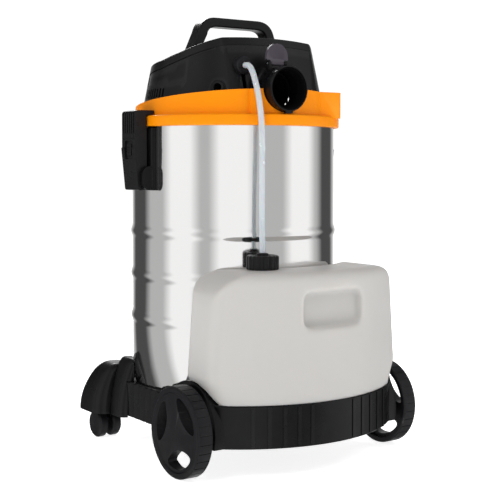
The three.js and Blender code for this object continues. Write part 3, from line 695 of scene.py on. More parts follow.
def make_lid_ring():
    inner = BAND_R - 4
    profile = fillet(
        [
            (inner, LIP_BOTTOM + 5.5), (DRUM_R + 1.2, LIP_BOTTOM + 5.5),
            (DRUM_R + 1.2, LIP_BOTTOM), (LIP_R, LIP_BOTTOM), (LIP_R, LIP_TOP),
            (BAND_R + 1, LIP_TOP), (BAND_R - 1.5, 640), (inner, 640),
        ],
        [0, 0.5, 0.5, 3, 4.5, 3, 0, 0], 5,
    )
    lug = fillet([(71, -156), (121, -156), (121, -110), (71, -110)], [5, 7, 0, 0], 5)
    lug = cut(prism(lug, LIP_TOP - 3, 640), rod(inner + 0.1, 500, 700, 144))
    whole = common(join(lathe(profile, 144), lug), under_lid_edge())
    groove = prism(fillet([(-86, -182), (-70, -182), (-70, -154), (-86, -154)], 2, 3),
                   LIP_TOP + 0.5, 640)
    ring = cut(whole, groove, port_hole(38.3, -220, -120))
    piece("lid_band", ring, ORANGE, slot="orange_plastic", replaces=["lid_ring"], edge=0.9,
          steps=3)


# ---------- Motor head ----------
HEAD_R, HEAD_Z, HEAD_DRAFT = 157.0, 600.0, 0.2
FACET_Y, FACET_Z, FACET_LEAN, FACET_BOW = -141.0, 604.0, 0.3, 420.0
CROWN = [(-220, 743), (-124, 709), (-87, 696), (-40, 679), (0, 669), (66, 663.5), (112, 651),
         (150, 628), (178, 596)]
COVER_DEPTH = 15.0
CHAMFER, CHAMFER_FALL = 1.8, 0.0145  # the flat between the facet and the round sides
SWITCH_X, SWITCH_Y = 19.0, 88.0


def crown_height(y):
    """Height of the head's top at a distance behind or ahead of the axis."""
    def straight(at):
        for (y0, z0), (y1, z1) in zip(CROWN, CROWN[1:]):
            if at <= y1:
                return z0 + (z1 - z0) * (at - y0) / (y1 - y0)
        return CROWN[-1][1]
    return (straight(y - 7) + 2 * straight(y) + straight(y + 7)) / 4


def soft_least(values, soft):
    """The least of several lengths, with the corners between them rounded."""
    low = min(values)
    return low - soft * math.log(sum(math.exp((low - v) / soft) for v in values))


def facet_reach(angle, flat):
    """How far out the bowed rear face lies at an angle from the rear."""
    c, s = math.cos(angle), math.sin(angle)
    return 2 * flat / (c + math.sqrt(c * c + 2 * s * s * flat / FACET_BOW))


def head_radius(angle, z, inset):
    """The head's outline in plan: a circle, the bowed rear face and a chamfer between."""
    round_side = HEAD_R - HEAD_DRAFT * (z - HEAD_Z) - inset
    flat = -(FACET_Y + FACET_LEAN * (z - FACET_Z)) - inset
    if abs(angle) > 1.6:
        return round_side
    low, high = 0.1, 1.5
    for _ in range(18):
        middle = (low + high) / 2
        if facet_reach(middle, flat) < round_side:
            low = middle
        else:
            high = middle
    normal = (low + math.atan(round_side * math.sin(low) / FACET_BOW)) / 2
    depth = max(0.4, CHAMFER - CHAMFER_FALL * (z - FACET_Z))
    reach = round_side * math.cos(low - normal) - depth
    chamfer = reach / max(0.2, math.cos(abs(angle) - normal))
    return soft_least([round_side, facet_reach(angle, flat), chamfer], 0.06) + 0.01


def head_solid(inset, low, sink, around=288, up=16, rim=2.2):
    """The closed head from a level plane up to its crown, sunk by an amount."""
    verts, rings = [], []
    angles = [TAU * i / around - math.pi for i in range(around)]

    def add_ring(points):
        rings.append(list(range(len(verts), len(verts) + around)))
        verts.extend(points)

    def spot(angle, r, z):
        return (r * math.sin(angle), -r * math.cos(angle), z)

    tops = []
    for angle in angles:
        z = 650.0
        for _ in range(12):
            r = head_radius(angle, z, inset)
            z = crown_height(-r * math.cos(angle)) - sink
        tops.append((r, z))
    for k in range(up + 1):
        t = k / up
        ring = []
        for angle, (_, top) in zip(angles, tops):
            z = low + t * (top - rim - low)
            ring.append(spot(angle, head_radius(angle, z, inset), z))
        add_ring(ring)
    for k in range(1, 6):
        turn = k / 5 * math.pi / 2
        ring = []
        for angle, (r, _) in zip(angles, tops):
            reach = r - rim * (1 - math.cos(turn))
            top = crown_height(-reach * math.cos(angle)) - sink
            ring.append(spot(angle, reach, top - rim * (1 - math.sin(turn))))
        add_ring(ring)
    for k in range(1, 24):
        ring = []
        for angle, (r, _) in zip(angles, tops):
            reach = (r - rim) * (1 - k / 24)
            ring.append(spot(angle, reach, crown_height(-reach * math.cos(angle)) - sink))
        add_ring(ring)
    verts.append((0, 0, crown_height(0) - sink))
    peak = len(verts) - 1
    verts.append((0, 0, low))
    faces = []
    for lower, upper in zip(rings, rings[1:]):
        for i in range(around):
            j = (i + 1) % around
            faces.append([lower[i], lower[j], upper[j], upper[i]])
    for i in range(around):
        j = (i + 1) % around
        faces.append([rings[-1][i], rings[-1][j], peak])
        faces.append([rings[0][j], rings[0][i], peak + 1])
    return solid(verts, faces)


def under_crown(sink):
    """Everything below the crown, lowered by an amount."""
    steps = [(y, crown_height(y) - sink) for y in range(-200, 180, 4)]
    return swept_x([(-230, 500), (230, 500), (200, 500), *reversed(steps)], -260, 260)


def socket_rod(r, start, end, segments=64, edge=0.0):
    turned = along_x(rod(r, start, end, segments, edge))
    return moved(moved(turned, rz=227), z=617)


def louvres():
    """A row of upright slots low on each side of the head."""
    slots = []
    for k in range(9):
        slot = moved(swept_y(rounded_rect(-2.6, 603, 2.6, 620, 2.2, 3), 128, 175),
                     rz=160 + 3.3 * k - 90)
        slots += [slot, mirror_x(slot)]
    return slots


def side_panels():
    """Shallow sunk panels on the sides of the head, ahead of an upright step."""
    sides = []
    for start, end in ((66, 118), (-118, -66)):
        rim = [(250 * math.sin(a), -250 * math.cos(a)) for a in
               (math.radians(start + (end - start) * k / 8) for k in range(9))]
        sides.append(prism([(0, 0), *rim], 626, 720))
    panel = cut(head_solid(-3, 560, 0), head_solid(1.5, 550, 0))
    return common(panel, join(*sides))


def make_head():
    wall = 3.0
    low = 577.0
    shell = cut(
        join(head_solid(0, low, COVER_DEPTH + 3.2, rim=1.2),
             head_solid(1.6, low + 20, COVER_DEPTH + 0.3, rim=0.3)),
        head_solid(wall, low - 20, 1), side_panels(),
    )
    rear = common(head_solid(0.05, low + 20, COVER_DEPTH + 0.35, rim=0.3),
                  block(-200, -200, 500, 200, -96, 800))
    shell = cut(join(shell, rear), head_solid(wall, low - 25, 1))
    flange = common(pipe(167.5, 150, low, 640, 144), under_lid_edge(-1.5))
    flange = cut(flange, head_solid(wall, low - 20, 1), port_hole(38.3, -220, -125))
    grommet_hole = at_grommet(rod(10, -160, -90, 48))
    slot = moved(swept_y(rounded_rect(-3.75, 613.5, 3.75, 641, 2.5, 4), -150, -105), x=GROMMET_X)
    gland_hole = moved(along_y(rod(6.8, 130, 165, 32)), z=590.5)
    housing = cut(
        join(shell, flange), port_hole(35.4, -220, -90), grommet_hole, slot,
        socket_rod(12.3, 120, 166), gland_hole, *louvres(),
    )
    piece("head_shell", housing, HEAD_BLACK, slot="black_plastic",
          replaces=["head_housing"], edge=0.6, crease=5)


def switch_windows():
    return [moved(block(-12.5, -13, -30, 12.5, 13, 30), x=side * SWITCH_X, y=SWITCH_Y, z=656)
            for side in (-1, 1)]


def make_cover():
    rim = cut(head_solid(0, 560, 0), under_crown(COVER_DEPTH))
    cover = cut(rim, head_solid(3, 550, 3), *switch_windows())
    piece("head_cover", cover, HEAD_BLACK, slot="black_plastic",
          replaces=["head_top_cover"], edge=0.7, crease=5)


def bezier(a, b, c, steps):
    """Points after the first one, along a curve that bends towards the middle point."""
    out = []
    for i in range(1, steps + 1):
        t = i / steps
        out.append(tuple(
            (1 - t) ** 2 * p + 2 * t * (1 - t) * q + t * t * r for p, q, r in zip(a, b, c)
        ))
    return out


def make_handle():
    foot, shoulder, crown, leg, depth, top = 110.0, 80.0, 44.0, 18.0, 26.0, 746.0
    y = -2.0
    outer = [(-foot, 655), (-shoulder, 720)]
    outer += bezier((-shoulder, 720), (7 - shoulder, top), (-crown, top), 10)
    inner = [(leg - foot, 655), (leg - shoulder, 716)]
    inner += bezier((leg - shoulder, 716), (leg + 2 - shoulder, top - 16),
                    (4 - crown, top - 16), 10)
    over = outer + [(-x, z) for x, z in reversed(outer)]
    under = [(-x, z) for x, z in inner] + inner[::-1]
    arch = swept_y(over + under, y - depth / 2, y + depth / 2)
    arch = cut(arch, under_crown(-0.3))
    piece("lift_handle", arch, HEAD_BLACK, slot="black_plastic",
          replaces=["carry_handle"], edge=4.5, steps=4, angle=40)


def rocker(side):
    """A rocker switch, tipped to its off side, with a dished face."""
    dish = [(10.0 * math.cos(a), 5.2 - 2.6 * math.sin(a)) for a in
            [math.pi * i / 10 for i in range(11)]]
    outline = [(-9, -6), (9, -6), (11, 1), (11, 5), *dish, (-11, 5), (-11, 1)]
    height, tilt = switch_seat()
    shape = moved(swept_x(outline, -10.5, 10.5), rx=8 + tilt)
    return moved(shape, x=side * SWITCH_X, y=SWITCH_Y, z=height - 4)


def switch_seat():
    """Height and tilt of the crown under the switches."""
    (y0, z0), (y1, z1) = CROWN[5], CROWN[6]
    slope = (z1 - z0) / (y1 - y0)
    return z0 + slope * (SWITCH_Y - y0), math.degrees(math.atan(slope))


def make_switches():
    height, tilt = switch_seat()
    plate = layered([
        (rounded_rect(-39.5, -18.5, 39.5, 18.5, 5), 0.3),
        (rounded_rect(-40, -19, 40, 19, 5.5), 0.9),
        (rounded_rect(-40, -19, 40, 19, 5.5), 2.2),
        (rounded_rect(-39.2, -18.2, 39.2, 18.2, 5), 3.3),
    ])
    plate = moved(plate, rx=tilt, y=SWITCH_Y, z=height)
    piece("switch_frame", cut(plate, *switch_windows()), BLACK, slot="black_plastic",
          replaces=["switch_bezel"], edge=0.5)
    for name, side in (("vacuum", -1), ("pump", 1)):
        node = f"{name}_switch"
        piece(f"{name}_rocker", rocker(side), SWITCH, node, "switch_plastic", [node], edge=0.6)


def make_fittings():
    gland = lathe(fillet(
        [(3.6, 148), (6.5, 148), (6.5, 160), (5.6, 161), (5.6, 163), (6.5, 164), (6.5, 166),
         (5.4, 167), (5.4, 168.5), (6.2, 169.5), (5.2, 174), (3.6, 174)],
        0.4, 2), 48)
    piece("lead_gland", moved(along_y(gland), z=590.5), RUBBER, slot="black_plastic",
          replaces=["cable_gland"])
    socket = cut(
        join(socket_rod(12, 138, 158.5, edge=1), socket_rod(10.6, 150, 161, edge=1.2)),
        socket_rod(6.5, 120, 180),
    )
    piece("spray_outlet", socket, BLACK, slot="black_plastic", replaces=["spray_socket"],
          edge=0.4)
    rim = arc(12.4, -128.4, 2.6, -90, 0, 5)
    flange = lathe([(5.4, -130.4), (6, -131), *rim, (15, -105), (5.4, -105)], 96)
    flange = cut(at_grommet(flange), head_solid(-0.3, 560, 0, rim=0.5))
    neck = at_grommet(pipe(9.7, 5.4, -130, -108, 64))
    piece("hose_grommet", join(flange, neck), RUBBER, slot="black_rubber",
          replaces=["tube_grommet"], edge=0.5)


# ---------- Inlet ----------
def make_inlet():
    tube_r, bore_r, collar_r, mouth = 34.9, 32.6, 37.5, -184.0
    collar = lathe(fillet(
        [(tube_r + 0.3, mouth), (collar_r, mouth), (collar_r, -170), (collar_r - 1.2, -168.5),
         (collar_r - 1.2, -124), (tube_r + 0.3, -124)],
        [0.6, 1.6, 0.8, 0.8, 0, 0], 4), 128)
    collar = at_port(collar)
    lug = fillet([(-7, -40.5), (7, -40.5), (7, -35), (-7, -35)], [2, 2, 0, 0], 4)
    lug = moved(swept_y(lug, mouth, mouth + 6), x=PORT_X, z=PORT_Z)
    tab = fillet([(-6, 35), (6, 35), (6, 40.5), (-6, 40.5)], [0, 0, 2, 2], 4)
    tab = moved(swept_y(tab, mouth, mouth + 5), x=PORT_X, z=PORT_Z)
    ears = []
    for side in (-1, 1):
        outline = [(HINGE_Y - 6, 645), (HINGE_Y + 6, 645),
                   *arc(HINGE_Y, HINGE_Z - 1, 5.5, 0, 180, 10)]
        near, far = sorted((side * 13.5, side * 18.5))
        ears.append(moved(swept_x(outline, near, far), x=PORT_X))
    pin_hole = moved(along_x(rod(1.85, -60, 60, 24)), y=HINGE_Y, z=HINGE_Z)
    base = lathe([(tube_r + 0.3, -150.5), (40.2, -150.5), (42.4, -148.6), (43, -146),
                  (43, -128), (tube_r + 0.3, -128)], 128)
    base = cut(at_port(base),
               block(PORT_X - 24, -180, 646, PORT_X + 24, -100, 700))
    base = common(base, block(-100, -200, 616, 100, -100, 700))
    whole = cut(join(collar, lug, tab, base, *ears), port_hole(tube_r + 0.3, -220, -100),
                head_solid(-0.3, 560, 0, rim=0.5), pin_hole)
    piece("port_sleeve", whole, BLACK, slot="black_plastic", replaces=["port_collar"],
          edge=0.5)
    bore = lathe(fillet(
        [(bore_r, mouth + 1.5), (tube_r, mouth + 1.5), (tube_r, -143.6), (bore_r, -143.6),
         (bore_r, -160), (bore_r - 0.8, -162), (bore_r - 0.8, -164), (bore_r, -166)],
        [0.9, 0.9, 0, 0, 0.3, 0.3, 0.3, 0.3], 3), 128)
    piece("inlet_bore", at_port(bore), PORT_INSIDE,
          slot="black_plastic", replaces=["inlet_port"])


def make_hose_lever():
    """The tongue over the port, dished in front, on its knuckle."""
    half, thick, hinge, top = 22.0, 5.0, HINGE_Z, 691.0
    wide = hinge + 6
    right = [(half, wide), (half - 0.6, wide + 9), (half - 3, wide + 16.5),
             (half - 8, wide + 22.5), (half - 14, wide + 26.2), (0, top)]
    outline = right + [(-x, z) for x, z in reversed(right[:-1])]
    outline = fillet(outline, [1.5] + [9] * (len(outline) - 2) + [1.5], 3)
    blade = swept_y(outline, -thick / 2, thick / 2)
    hollow = moved(lathe([(0, -60), *arc(0, 0, 60, -90, 90, 40), (0, 60)], 96),
                   y=-60.9, z=hinge + 20)
    blade = cut(blade, hollow)
    foot = block(-half + 8, -thick / 2, hinge, half - 8, thick / 2, wide + 2)
    knuckle = moved(along_x(rod(3.6, -half + 8, half - 8, 40)), z=hinge)
    bore = moved(along_x(rod(1.9, -60, 60, 24)), z=hinge)
    tongue = moved(cut(join(blade, foot, knuckle), bore), x=PORT_X, y=HINGE_Y)
    piece("hose_tongue", tongue, LEVER, "hose_lever", "lever_plastic", ["hose_lever"],
          edge=0.8, steps=3)
    pin = lathe(fillet([(0, -19), (1.7, -19), (1.7, 19), (0, 19)], [0, 0.5, 0.5, 0], 2), 24)
    piece("hose_tongue_pin", moved(along_x(pin), x=PORT_X, y=HINGE_Y, z=hinge), STEEL,
          slot="steel_plain", replaces=["hose_lever_pin"])


# ---------- Solution tank ----------
def kidney(inset, steps=40):
    """The tank's plan: a round outer face and a hollow face against the drum."""
    outer, inner = 260.5 - inset, 184.0 + inset
    half, front, corner = 175.0 - inset, -138.0 - inset, 34.0 - inset
    cy = REAR_ARC_Y - math.sqrt((outer - corner) ** 2 - (half - corner) ** 2)
    turn = math.degrees(math.atan2(cy - REAR_ARC_Y, half - corner))
    horn = math.sqrt(inner ** 2 - front ** 2)
    inside = math.degrees(math.atan2(front, horn))
    r = 20 - inset
    points = arc(half - r, front - r, r, 90, 0, 8)
    points += arc(half - corner, cy, corner, 0, turn, 8)[1:]
    points += arc(0, REAR_ARC_Y, outer, turn, -180 - turn, steps)[1:-1]
    points += arc(corner - half, cy, corner, -180 - turn, -180, 8)
    points += arc(r - half, front - r, r, 180, 90, 8)
    points += arc(0, 0, inner, -180 - inside, inside, steps)
    return points


def end_spread(z):
    """How much wider each end of the tank is at a height than at its bottom."""
    waist, belly, swell, at_top = 119.5, 157.0, 15.0, 2.0
    if z <= belly:
        t = max(0.0, (z - waist) / (belly - waist))
        return swell * t
    return swell + (at_top - swell) * (z - belly) / (323.0 - belly)


def tank_level(inset, z):
    horn, half, spread = 122.0, 175.0, end_spread(z)
    out = []
    for x, y in kidney(inset):
        part = max(0.0, (abs(x) - horn) / (half - horn))
        out.append((x + math.copysign(spread * part, x), y))
    return out, z


def top_corners():
    """Front outline of the tank with its top corners rounded off."""
    x, z, wide, tall = 120.0, 274.0, 60.0, 49.0
    turns = [math.radians(90 * k / 24) for k in range(25)]
    right = [(x + wide * math.cos(a), z + tall * math.sin(a)) for a in turns]
    left = [(-px, pz) for px, pz in reversed(right)]
    outline = [(-260, 0), (260, 0), (260, z), *right, *left, (-260, z)]
    return swept_y(outline, -320, -100)


def tank_body():
    low, high, rounding = 66.0, 323.0, 16.0
    levels = []
    turns = [math.pi / 2 * k / 8 for k in range(9)]
    for a in turns:
        levels.append((rounding * (1 - math.sin(a)), low + rounding * (1 - math.cos(a))))
    span = high - low - 2 * rounding
    levels += [(0, low + rounding + span * k / 6) for k in range(1, 6)]
    for a in turns:
        levels.append((rounding * (1 - math.cos(a)), high - rounding * (1 - math.sin(a))))
    body = layered([tank_level(inset, z) for inset, z in levels])
    return common(body, top_corners())


def handle_recess():
    """A pocket with soft corners that narrows towards its floor."""
    levels = []
    for grow, depth in ((-3, 300), (-2.4, 284), (0, 276), (0, 270), (1.5, 266.5), (5, 265)):
        outline = rounded_rect(-53 + grow, 235 + grow, 65 - grow, 291 - grow,
                               14 - grow * 0.5, 8)
        levels.append((outline, depth))
    return moved(layered(levels), rx=90)


def blow_moulded(obj, cell=3.4, passes=9):
    """Softens a solid all over, as blown plastic is."""
    skin = obj.modifiers.new("skin", "REMESH")
    skin.mode = "VOXEL"
    skin.voxel_size = cell
    soft = obj.modifiers.new("soft", "SMOOTH")
    soft.factor = 0.5
    soft.iterations = passes
    return bake(obj)


def make_tank():
    arch = arch_disc(137, 240, ARCH_R + 1)
    neck = at_cap(pipe(21, 18, 300, 338, 96, edge=0.8))
    body = blow_moulded(cut(tank_body(), arch, mirror_x(arch), handle_recess()))
    collar = at_cap(lathe(fillet([(0, 316), (27, 316), (26, 323), (0, 323)],
                                 [0, 1, 1.4, 0], 3), 96))
    body = cut(join(body, collar), at_cap(rod(20.9, 310, 330, 96)))
    piece("tank_shell", join(body, neck), TANK, slot="tank_plastic",
          replaces=["solution_tank"], angle=60)


def make_cap():
    """Screw cap with a ribbed rim and a dished top."""
    ribs, per_rib = 20, 10
    ring = []
    for i in range(ribs * per_rib):
        swell = 0.9 * max(0.0, math.cos(TAU * i / per_rib)) ** 0.6
        a = TAU * i / (ribs * per_rib)
        ring.append((a, 25.4 + swell))

    def level(shrink, z):
        return [((r - shrink) * math.sin(a), -(r - shrink) * math.cos(a)) for a, r in ring], z
    skin = layered([level(0.8, 323.4), level(0.1, 324.5), level(0, 342.8), level(0.8, 344.8),
                    level(2.2, 345.8), level(3.4, 346)])
    dish = lathe([(12.5, 345.2), (13.5, 345.2), (19.5, 345.4), (20.6, 347), (12.2, 347)], 96)
    bore = join(rod(21.4, 320, 342, 96), rod(8, 340, 350, 48))
    piece("cap_shell", at_cap(cut(skin, bore, dish)), BLACK, "tank_cap", "black_plastic",
          ["tank_cap"], angle=28)
    gland = lathe(fillet(
        [(5.3, 334), (7.7, 334), (7.7, 346.3), (10, 346.3), (10, 347.8), (8.2, 349.3),
         (5.3, 349.3)],
        [0, 0, 0.2, 0.5, 0.8, 0.8, 0.4], 3), 64)
    piece("cap_ferrule", at_cap(gland), RUBBER, slot="black_rubber", replaces=["cap_gland"])


# ---------- Base ----------
SKIRT_R, RIB_RISE = 262.6, 1.3


def base_outline(inset):
    half, r, front_turn = 180.0 - inset, SKIRT_R - inset, 33.2
    turn = math.degrees(math.atan2(-202, 170))
    ends = arc(0, REAR_ARC_Y, r, -180 - turn, turn, 72)
    front = arc(0, 0, 189 - inset, front_turn, 180 - front_turn, 48)
    left = [(-half, 96), (-half, -200), *bezier((-half, -200), (-half, -219), ends[0], 6)]
    right = [ends[-1], *bezier(ends[-1], (half, -219), (half, -200), 6), (half, 96)]
    return left[:-1] + ends + right[1:] + front


def arm_block(margin):
    return block(110 - margin, 118 - margin, 56 - margin, 196 + margin, 176 + margin,
                 88 + margin)


def arch_disc(x0, x1, r, edge=0.0):
    return moved(along_x(rod(r, x0, x1, 128, edge)), y=ARCH_Y, z=ARCH_Z)


def skirt_ribs():
    """Upright ribs on the rear skirt, five each side of its plain middle."""
    ribs = []
    for x in (42, 64, 87, 110, 133):
        y = REAR_ARC_Y - math.sqrt((SKIRT_R + RIB_RISE) ** 2 - x * x)
        turn = math.degrees(math.atan2(x, REAR_ARC_Y - y))
        rib = moved(block(-3, 0, 53, 3, 6, 116), x=x, y=y, rz=turn)
        ribs += [rib, mirror_x(rib)]
    return ribs


def side_pleats():
    """Stepped pleats moulded into the side walls, between the hood and the wheel."""
    cuts = []
    for y in range(-58, 43, 20):
        groove = prism([(175.6, y), (184, y - 0.6), (184, y + 15), (180.1, y + 15)], 40, 130)
        cuts += [groove, mirror_x(groove)]
    return cuts


def tray_block(low, top):
    return layered([(base_outline(2), low), (base_outline(0), low + 2),
                    (base_outline(0), top - 2), (base_outline(1.6), top)])


def make_base():
    low, side_top, rear_top = 51.0, 112.0, 119.0
    plan = tray_block(low, side_top)
    rear = common(tray_block(low, rear_top), block(-200, -300, 40, 200, -96, 130))
    arch = cut(arch_disc(ARCH_IN, ARCH_OUT, ARCH_R, 2), block(0, -300, -50, 300, 0, low))
    arm = arm_block(0)
    whole = join(plan, rear, *skirt_ribs())
    whole = cut(whole, *side_pleats())
    whole = join(whole, arch, mirror_x(arch), arm, mirror_x(arm))
    pocket = layered([(kidney(-0.7), 65.5), (kidney(-0.7), 200)])
    wheel_arch = arch_disc(ARCH_IN, ARCH_OUT, ARCH_R)
    pocket = cut(pocket, wheel_arch, mirror_x(wheel_arch))
    bush = moved(rod(8.3, 40, 100, 48), x=CASTER_X, y=CASTER_STEM_Y)
    axle = at_axle(rod(6.3, 152, 240, 48))
    tray = cut(whole, rod(174.2, 59.5, 200, 144), rod(178.7, 112.4, 200, 144), pocket,
               bush, mirror_x(bush), axle, mirror_x(axle))
    piece("base_shell", tray, BASE_BLACK, slot="black_plastic", replaces=["base_tray"],
          edge=0.45)


def lean_in(obj, x0, y0, low, top, lean_x, lean_y):
    """Narrows a solid towards a corner as it rises."""
    for v in obj.data.vertices:
        rise = max(0.0, (v.co.z - low) / (top - low))
        v.co.x = x0 + (v.co.x - x0) * (1 - lean_x * rise ** 2)
        v.co.y = y0 + (v.co.y - y0) * (1 - lean_y * rise ** 2)
    return obj


def domed(outline_at, low, top, rounding, steps=8):
    """A solid with upright sides and a rounded top edge."""
    levels = [(outline_at(0), low + (top - rounding - low) * k / 12) for k in range(13)]
    for k in range(1, steps + 1):
        a = math.pi / 2 * k / steps
        levels.append((outline_at(rounding * (1 - math.cos(a))),
                       top - rounding * (1 - math.sin(a))))
    return layered(levels)


def make_hoods():
    low = 49.0

    def front(inset):
        return rounded_rect(143 + inset, 106 + inset, 215 - inset, 198 - inset, 26 - inset, 10)

    def rear(inset):
        return rounded_rect(148 + inset, 60 + inset, 193 - inset, 114 - inset, 17 - inset, 10)

    outer = lean_in(domed(front, low, 136, 18), 143, 106, low, 136, 0.4, 0.4)
    inner = lean_in(domed(lambda i: front(3 + i), low - 9, 133, 15), 143, 106, low, 136,
                    0.4, 0.4)
    lobe = lean_in(domed(rear, low, 150, 12), 148, 60, low, 150, 0.5, 0)
    lobe = cut(lobe, block(100, 0, 30, 180.6, 108, 112.3))
    seam = moved(block(-30, -1.0, 40, 60, 0.6, 140), x=190, y=107)
    hood = cut(join(cut(outer, inner), lobe), rod(189.6, 30, 112.3, 144),
               rod(178.6, 30, 200, 144), arm_block(0.3), seam)
    pair("hood_shell", hood, BASE_BLACK, slot="black_plastic", replaces="caster_hood",
         edge=0.9, angle=40)


# ---------- Rear wheels ----------
def lens_window():
    rim, far, bulge, a = 57.5, 81.8, 53.8, 0.715
    trim = 9.0
    tip = (rim * math.cos(a), rim * math.sin(a))
    b = math.degrees(math.atan2(tip[1], tip[0] - far) + trim / bulge)
    open_a = math.degrees(a - trim / rim)
    outer = arc(0, 0, rim, -open_a, open_a, 20)
    inner = arc(far, 0, bulge, b, 360 - b, 20)
    upper = bezier(outer[-1], tip, inner[0], 6)
    lower = bezier(inner[-1], (tip[0], -tip[1]), outer[0], 6)
    return outer + upper + inner[1:] + lower[:-1]


def make_rear_wheels():
    r, h, web, rim, bore = WHEEL_R, 14.0, 6.0, 9.0, 6.15
    profile = fillet(
        [(0, 2.5), (bore, 2.5), (bore, 2 - h), (15, 2 - h), (18, -web), (r - rim, -web),
         (r - rim, -h), (r - 2, -h), (r, 2 - h), (r, h - 3), (r - 3, h), (r - rim, h),
         (r - rim - 2, h - 3), (0, h - 3)],
        [0, 0, 0, 1, 1, 1, 1, 1, 1, 2, 2, 1, 0.8, 0], 3)
    wheel = lathe(profile, 160)
    wheel = cut(wheel, *[moved(prism(lens_window(), -h - 1, h + 1), rz=90 + degrees)
                         for degrees in (15, 135, 255)])
    ridges = 32
    wheel = cut(wheel, together([
        moved(block(-0.8, -r - 3, 1 - h, 0.8, 1.1 - r, h - 3.4), rz=360 / ridges * (k + 0.5))
        for k in range(ridges)
    ]))
    wheel = moved(along_x(wheel), x=WHEEL_X, y=WHEEL_Y, z=WHEEL_R)
    pair("rear_tyre", wheel, RUBBER, "rear_wheel", "black_rubber", "rear_wheel", edge=0.35)
    shaft = rod(6, 152.3, WHEEL_X + 2.2, 64, edge=0.8)
    pair("axle_stub", at_axle(shaft), STEEL, None,
         "steel_plain", "rear_axle")


# ---------- Casters ----------
def make_casters():
    gap, width, r = 9.0, 17.0, CASTER_R
    end = gap / 2 + width
    profile = fillet(
        [(3.2, gap / 2), (r - 3, gap / 2), (r, gap / 2 + 3), (r, end - 3.5), (r - 3.5, end),
         (r - 6.5, end), (r - 7.2, end - 0.8), (0, end - 0.5), (0, end - 2.5),
         (3.2, end - 2.5)],
        [0, 2, 2, 2.5, 2, 0.4, 0.5, 0, 0, 0], 4)
    disc = along_x(lathe(profile, 96))
    inner = mirror_x(disc)
    for side, shape in (("outer", disc), ("inner", inner)):
        node = f"caster_wheel_{side}"
        pair(f"caster_disc_{side}", moved(shape, x=CASTER_X, y=CASTER_Y, z=r), RUBBER,
             node, "black_rubber", node)


# ---------- Drum latches ----------
LATCH_X, LATCH_Z = 192.0, 466.0
LATCH_HALF = 23.0
CHEEK_Y = 24.3


def latch_cheek():
    """A round-ended side of the bracket, with a rim and a sunk face."""
    def capsule(grow):
        r = 14 + grow
        return arc(187, 474, r, 0, 180, 20) + arc(187, 462, r, 180, 360, 20)

    cheek = swept_y(capsule(0), -31, -CHEEK_Y)
    return cut(cheek, swept_y(capsule(-3), -40, -30.2))


def make_brackets():
    strips = prism(fillet([(165, -31), (184, -31), (184, 31), (165, 31)], [0, 3, 3, 0], 4),
                   448, 552)
    opening = block(150, -CHEEK_Y, 440, 200, CHEEK_Y, 479)
    cheek = latch_cheek()
    twin = mirrored(cheek, (0, 1, 0))
    pin_hole = moved(along_y(rod(3.2, -29.3, 29.3, 32)), x=LATCH_X, z=LATCH_Z)
    ribs = [block(183, y - 1.1, 482, 184.8, y + 1.1, 546) for y in (-27.5, 27.5)]
    bracket = join(cut(strips, opening), cheek, twin, *ribs)
    bracket = cut(bracket, rod(178.5, 400, 600, 144), pin_hole)
    pair("latch_plate", bracket, BLACK, None, "black_plastic", "latch_bracket", edge=1.0,
         steps=3)


def make_clamps():
    """Hook over the lid's lip, a grooved plate with a square pocket and a tail below."""
    half = LATCH_HALF
    side = fillet(
        [(196, 448), (204.5, 448), (211.5, 518), (210, 520.5), (210, 581), (174, 581),
         (174, 573.5), (188.2, 573.5), (188.2, 490), (190, LATCH_Z)],
        [3, 4, 1, 1, 7, 2, 1, 0.5, 6, 0], 5)
    body = swept_y(side, -half, half)
    knuckle = moved(along_y(rod(8.5, -half, half, 48)), x=LATCH_X, z=LATCH_Z)
    pocket = moved(moved(prism(rounded_rect(-13, 500, 13, 531, 2.5, 4), -3, 6), rx=90),
                   rz=90, x=210)
    catch = moved(moved(prism(rounded_rect(-7, 506, 7, 525, 2, 4), 0, 2.2), rx=90),
                  rz=90, x=207)
    catch = cut(catch, *[block(208.4, -5, z - 1, 215, 5, z + 1) for z in (511, 515.5, 520)])
    grooves = []
    for y in (-17.5, -10.5, -3.5, 3.5, 10.5, 17.5):
        groove = [(207.6, 590), (220, 590), (220, 541), (210.2, 541), (208.4, 546)]
        grooves.append(swept_y(groove, y - 1.3, y + 1.3))
    seam = swept_y([(208.8, 533.5), (214, 533.5), (214, 535), (208.8, 535)], -half, half)
    bore = moved(along_y(rod(3.3, -40, 40, 32)), x=LATCH_X, z=LATCH_Z)
    clamp = cut(join(body, knuckle), bore, pocket, together(grooves), seam)
    pair("latch_arm", join(clamp, catch), BLACK, "latch", "black_plastic", "latch_clamp",
         edge=0.9, steps=3)
    pin = lathe(fillet([(0, -29), (3, -29), (3, 29), (0, 29)], [0, 0.6, 0.6, 0], 3), 32)
    pair("latch_pivot", moved(along_y(pin), x=LATCH_X, z=LATCH_Z), STEEL, None,
         "steel_plain", "latch_pin")


make_drum()
make_lid_ring()
make_head()
make_cover()
make_handle()
make_switches()
make_fittings()
make_inlet()
make_hose_lever()
make_tank()
make_cap()
make_base()
make_hoods()
make_rear_wheels()
make_casters()
make_brackets()
make_clamps()


# ---------- Frame parts that show their own shape ----------
OWN_SHAPE = {
    PORT_INSIDE: ("inlet_elbow",),
    BLACK: (
        "lid_plate", "motor_can", "solution_pump", "float_cage",
        "caster_fork_left", "caster_fork_right",
    ),
    STEEL: (
        "fan_shroud", "suction_fan", "motor_shaft", "caster_bush_left", "caster_bush_right",
    ),
    RUBBER: ("lid_seal",),
    TUBE: ("dip_tube",),
    copper_wire(): ("motor_stator",),
    foam(): ("filter_sleeve",),
    white_float(): ("float_ball",),
}
for material, names in OWN_SHAPE.items():
    for name in names:
        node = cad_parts[name]
        node.data.materials.clear()
        node.data.materials.append(material)
        smooth_by_angle(node.data, 35)


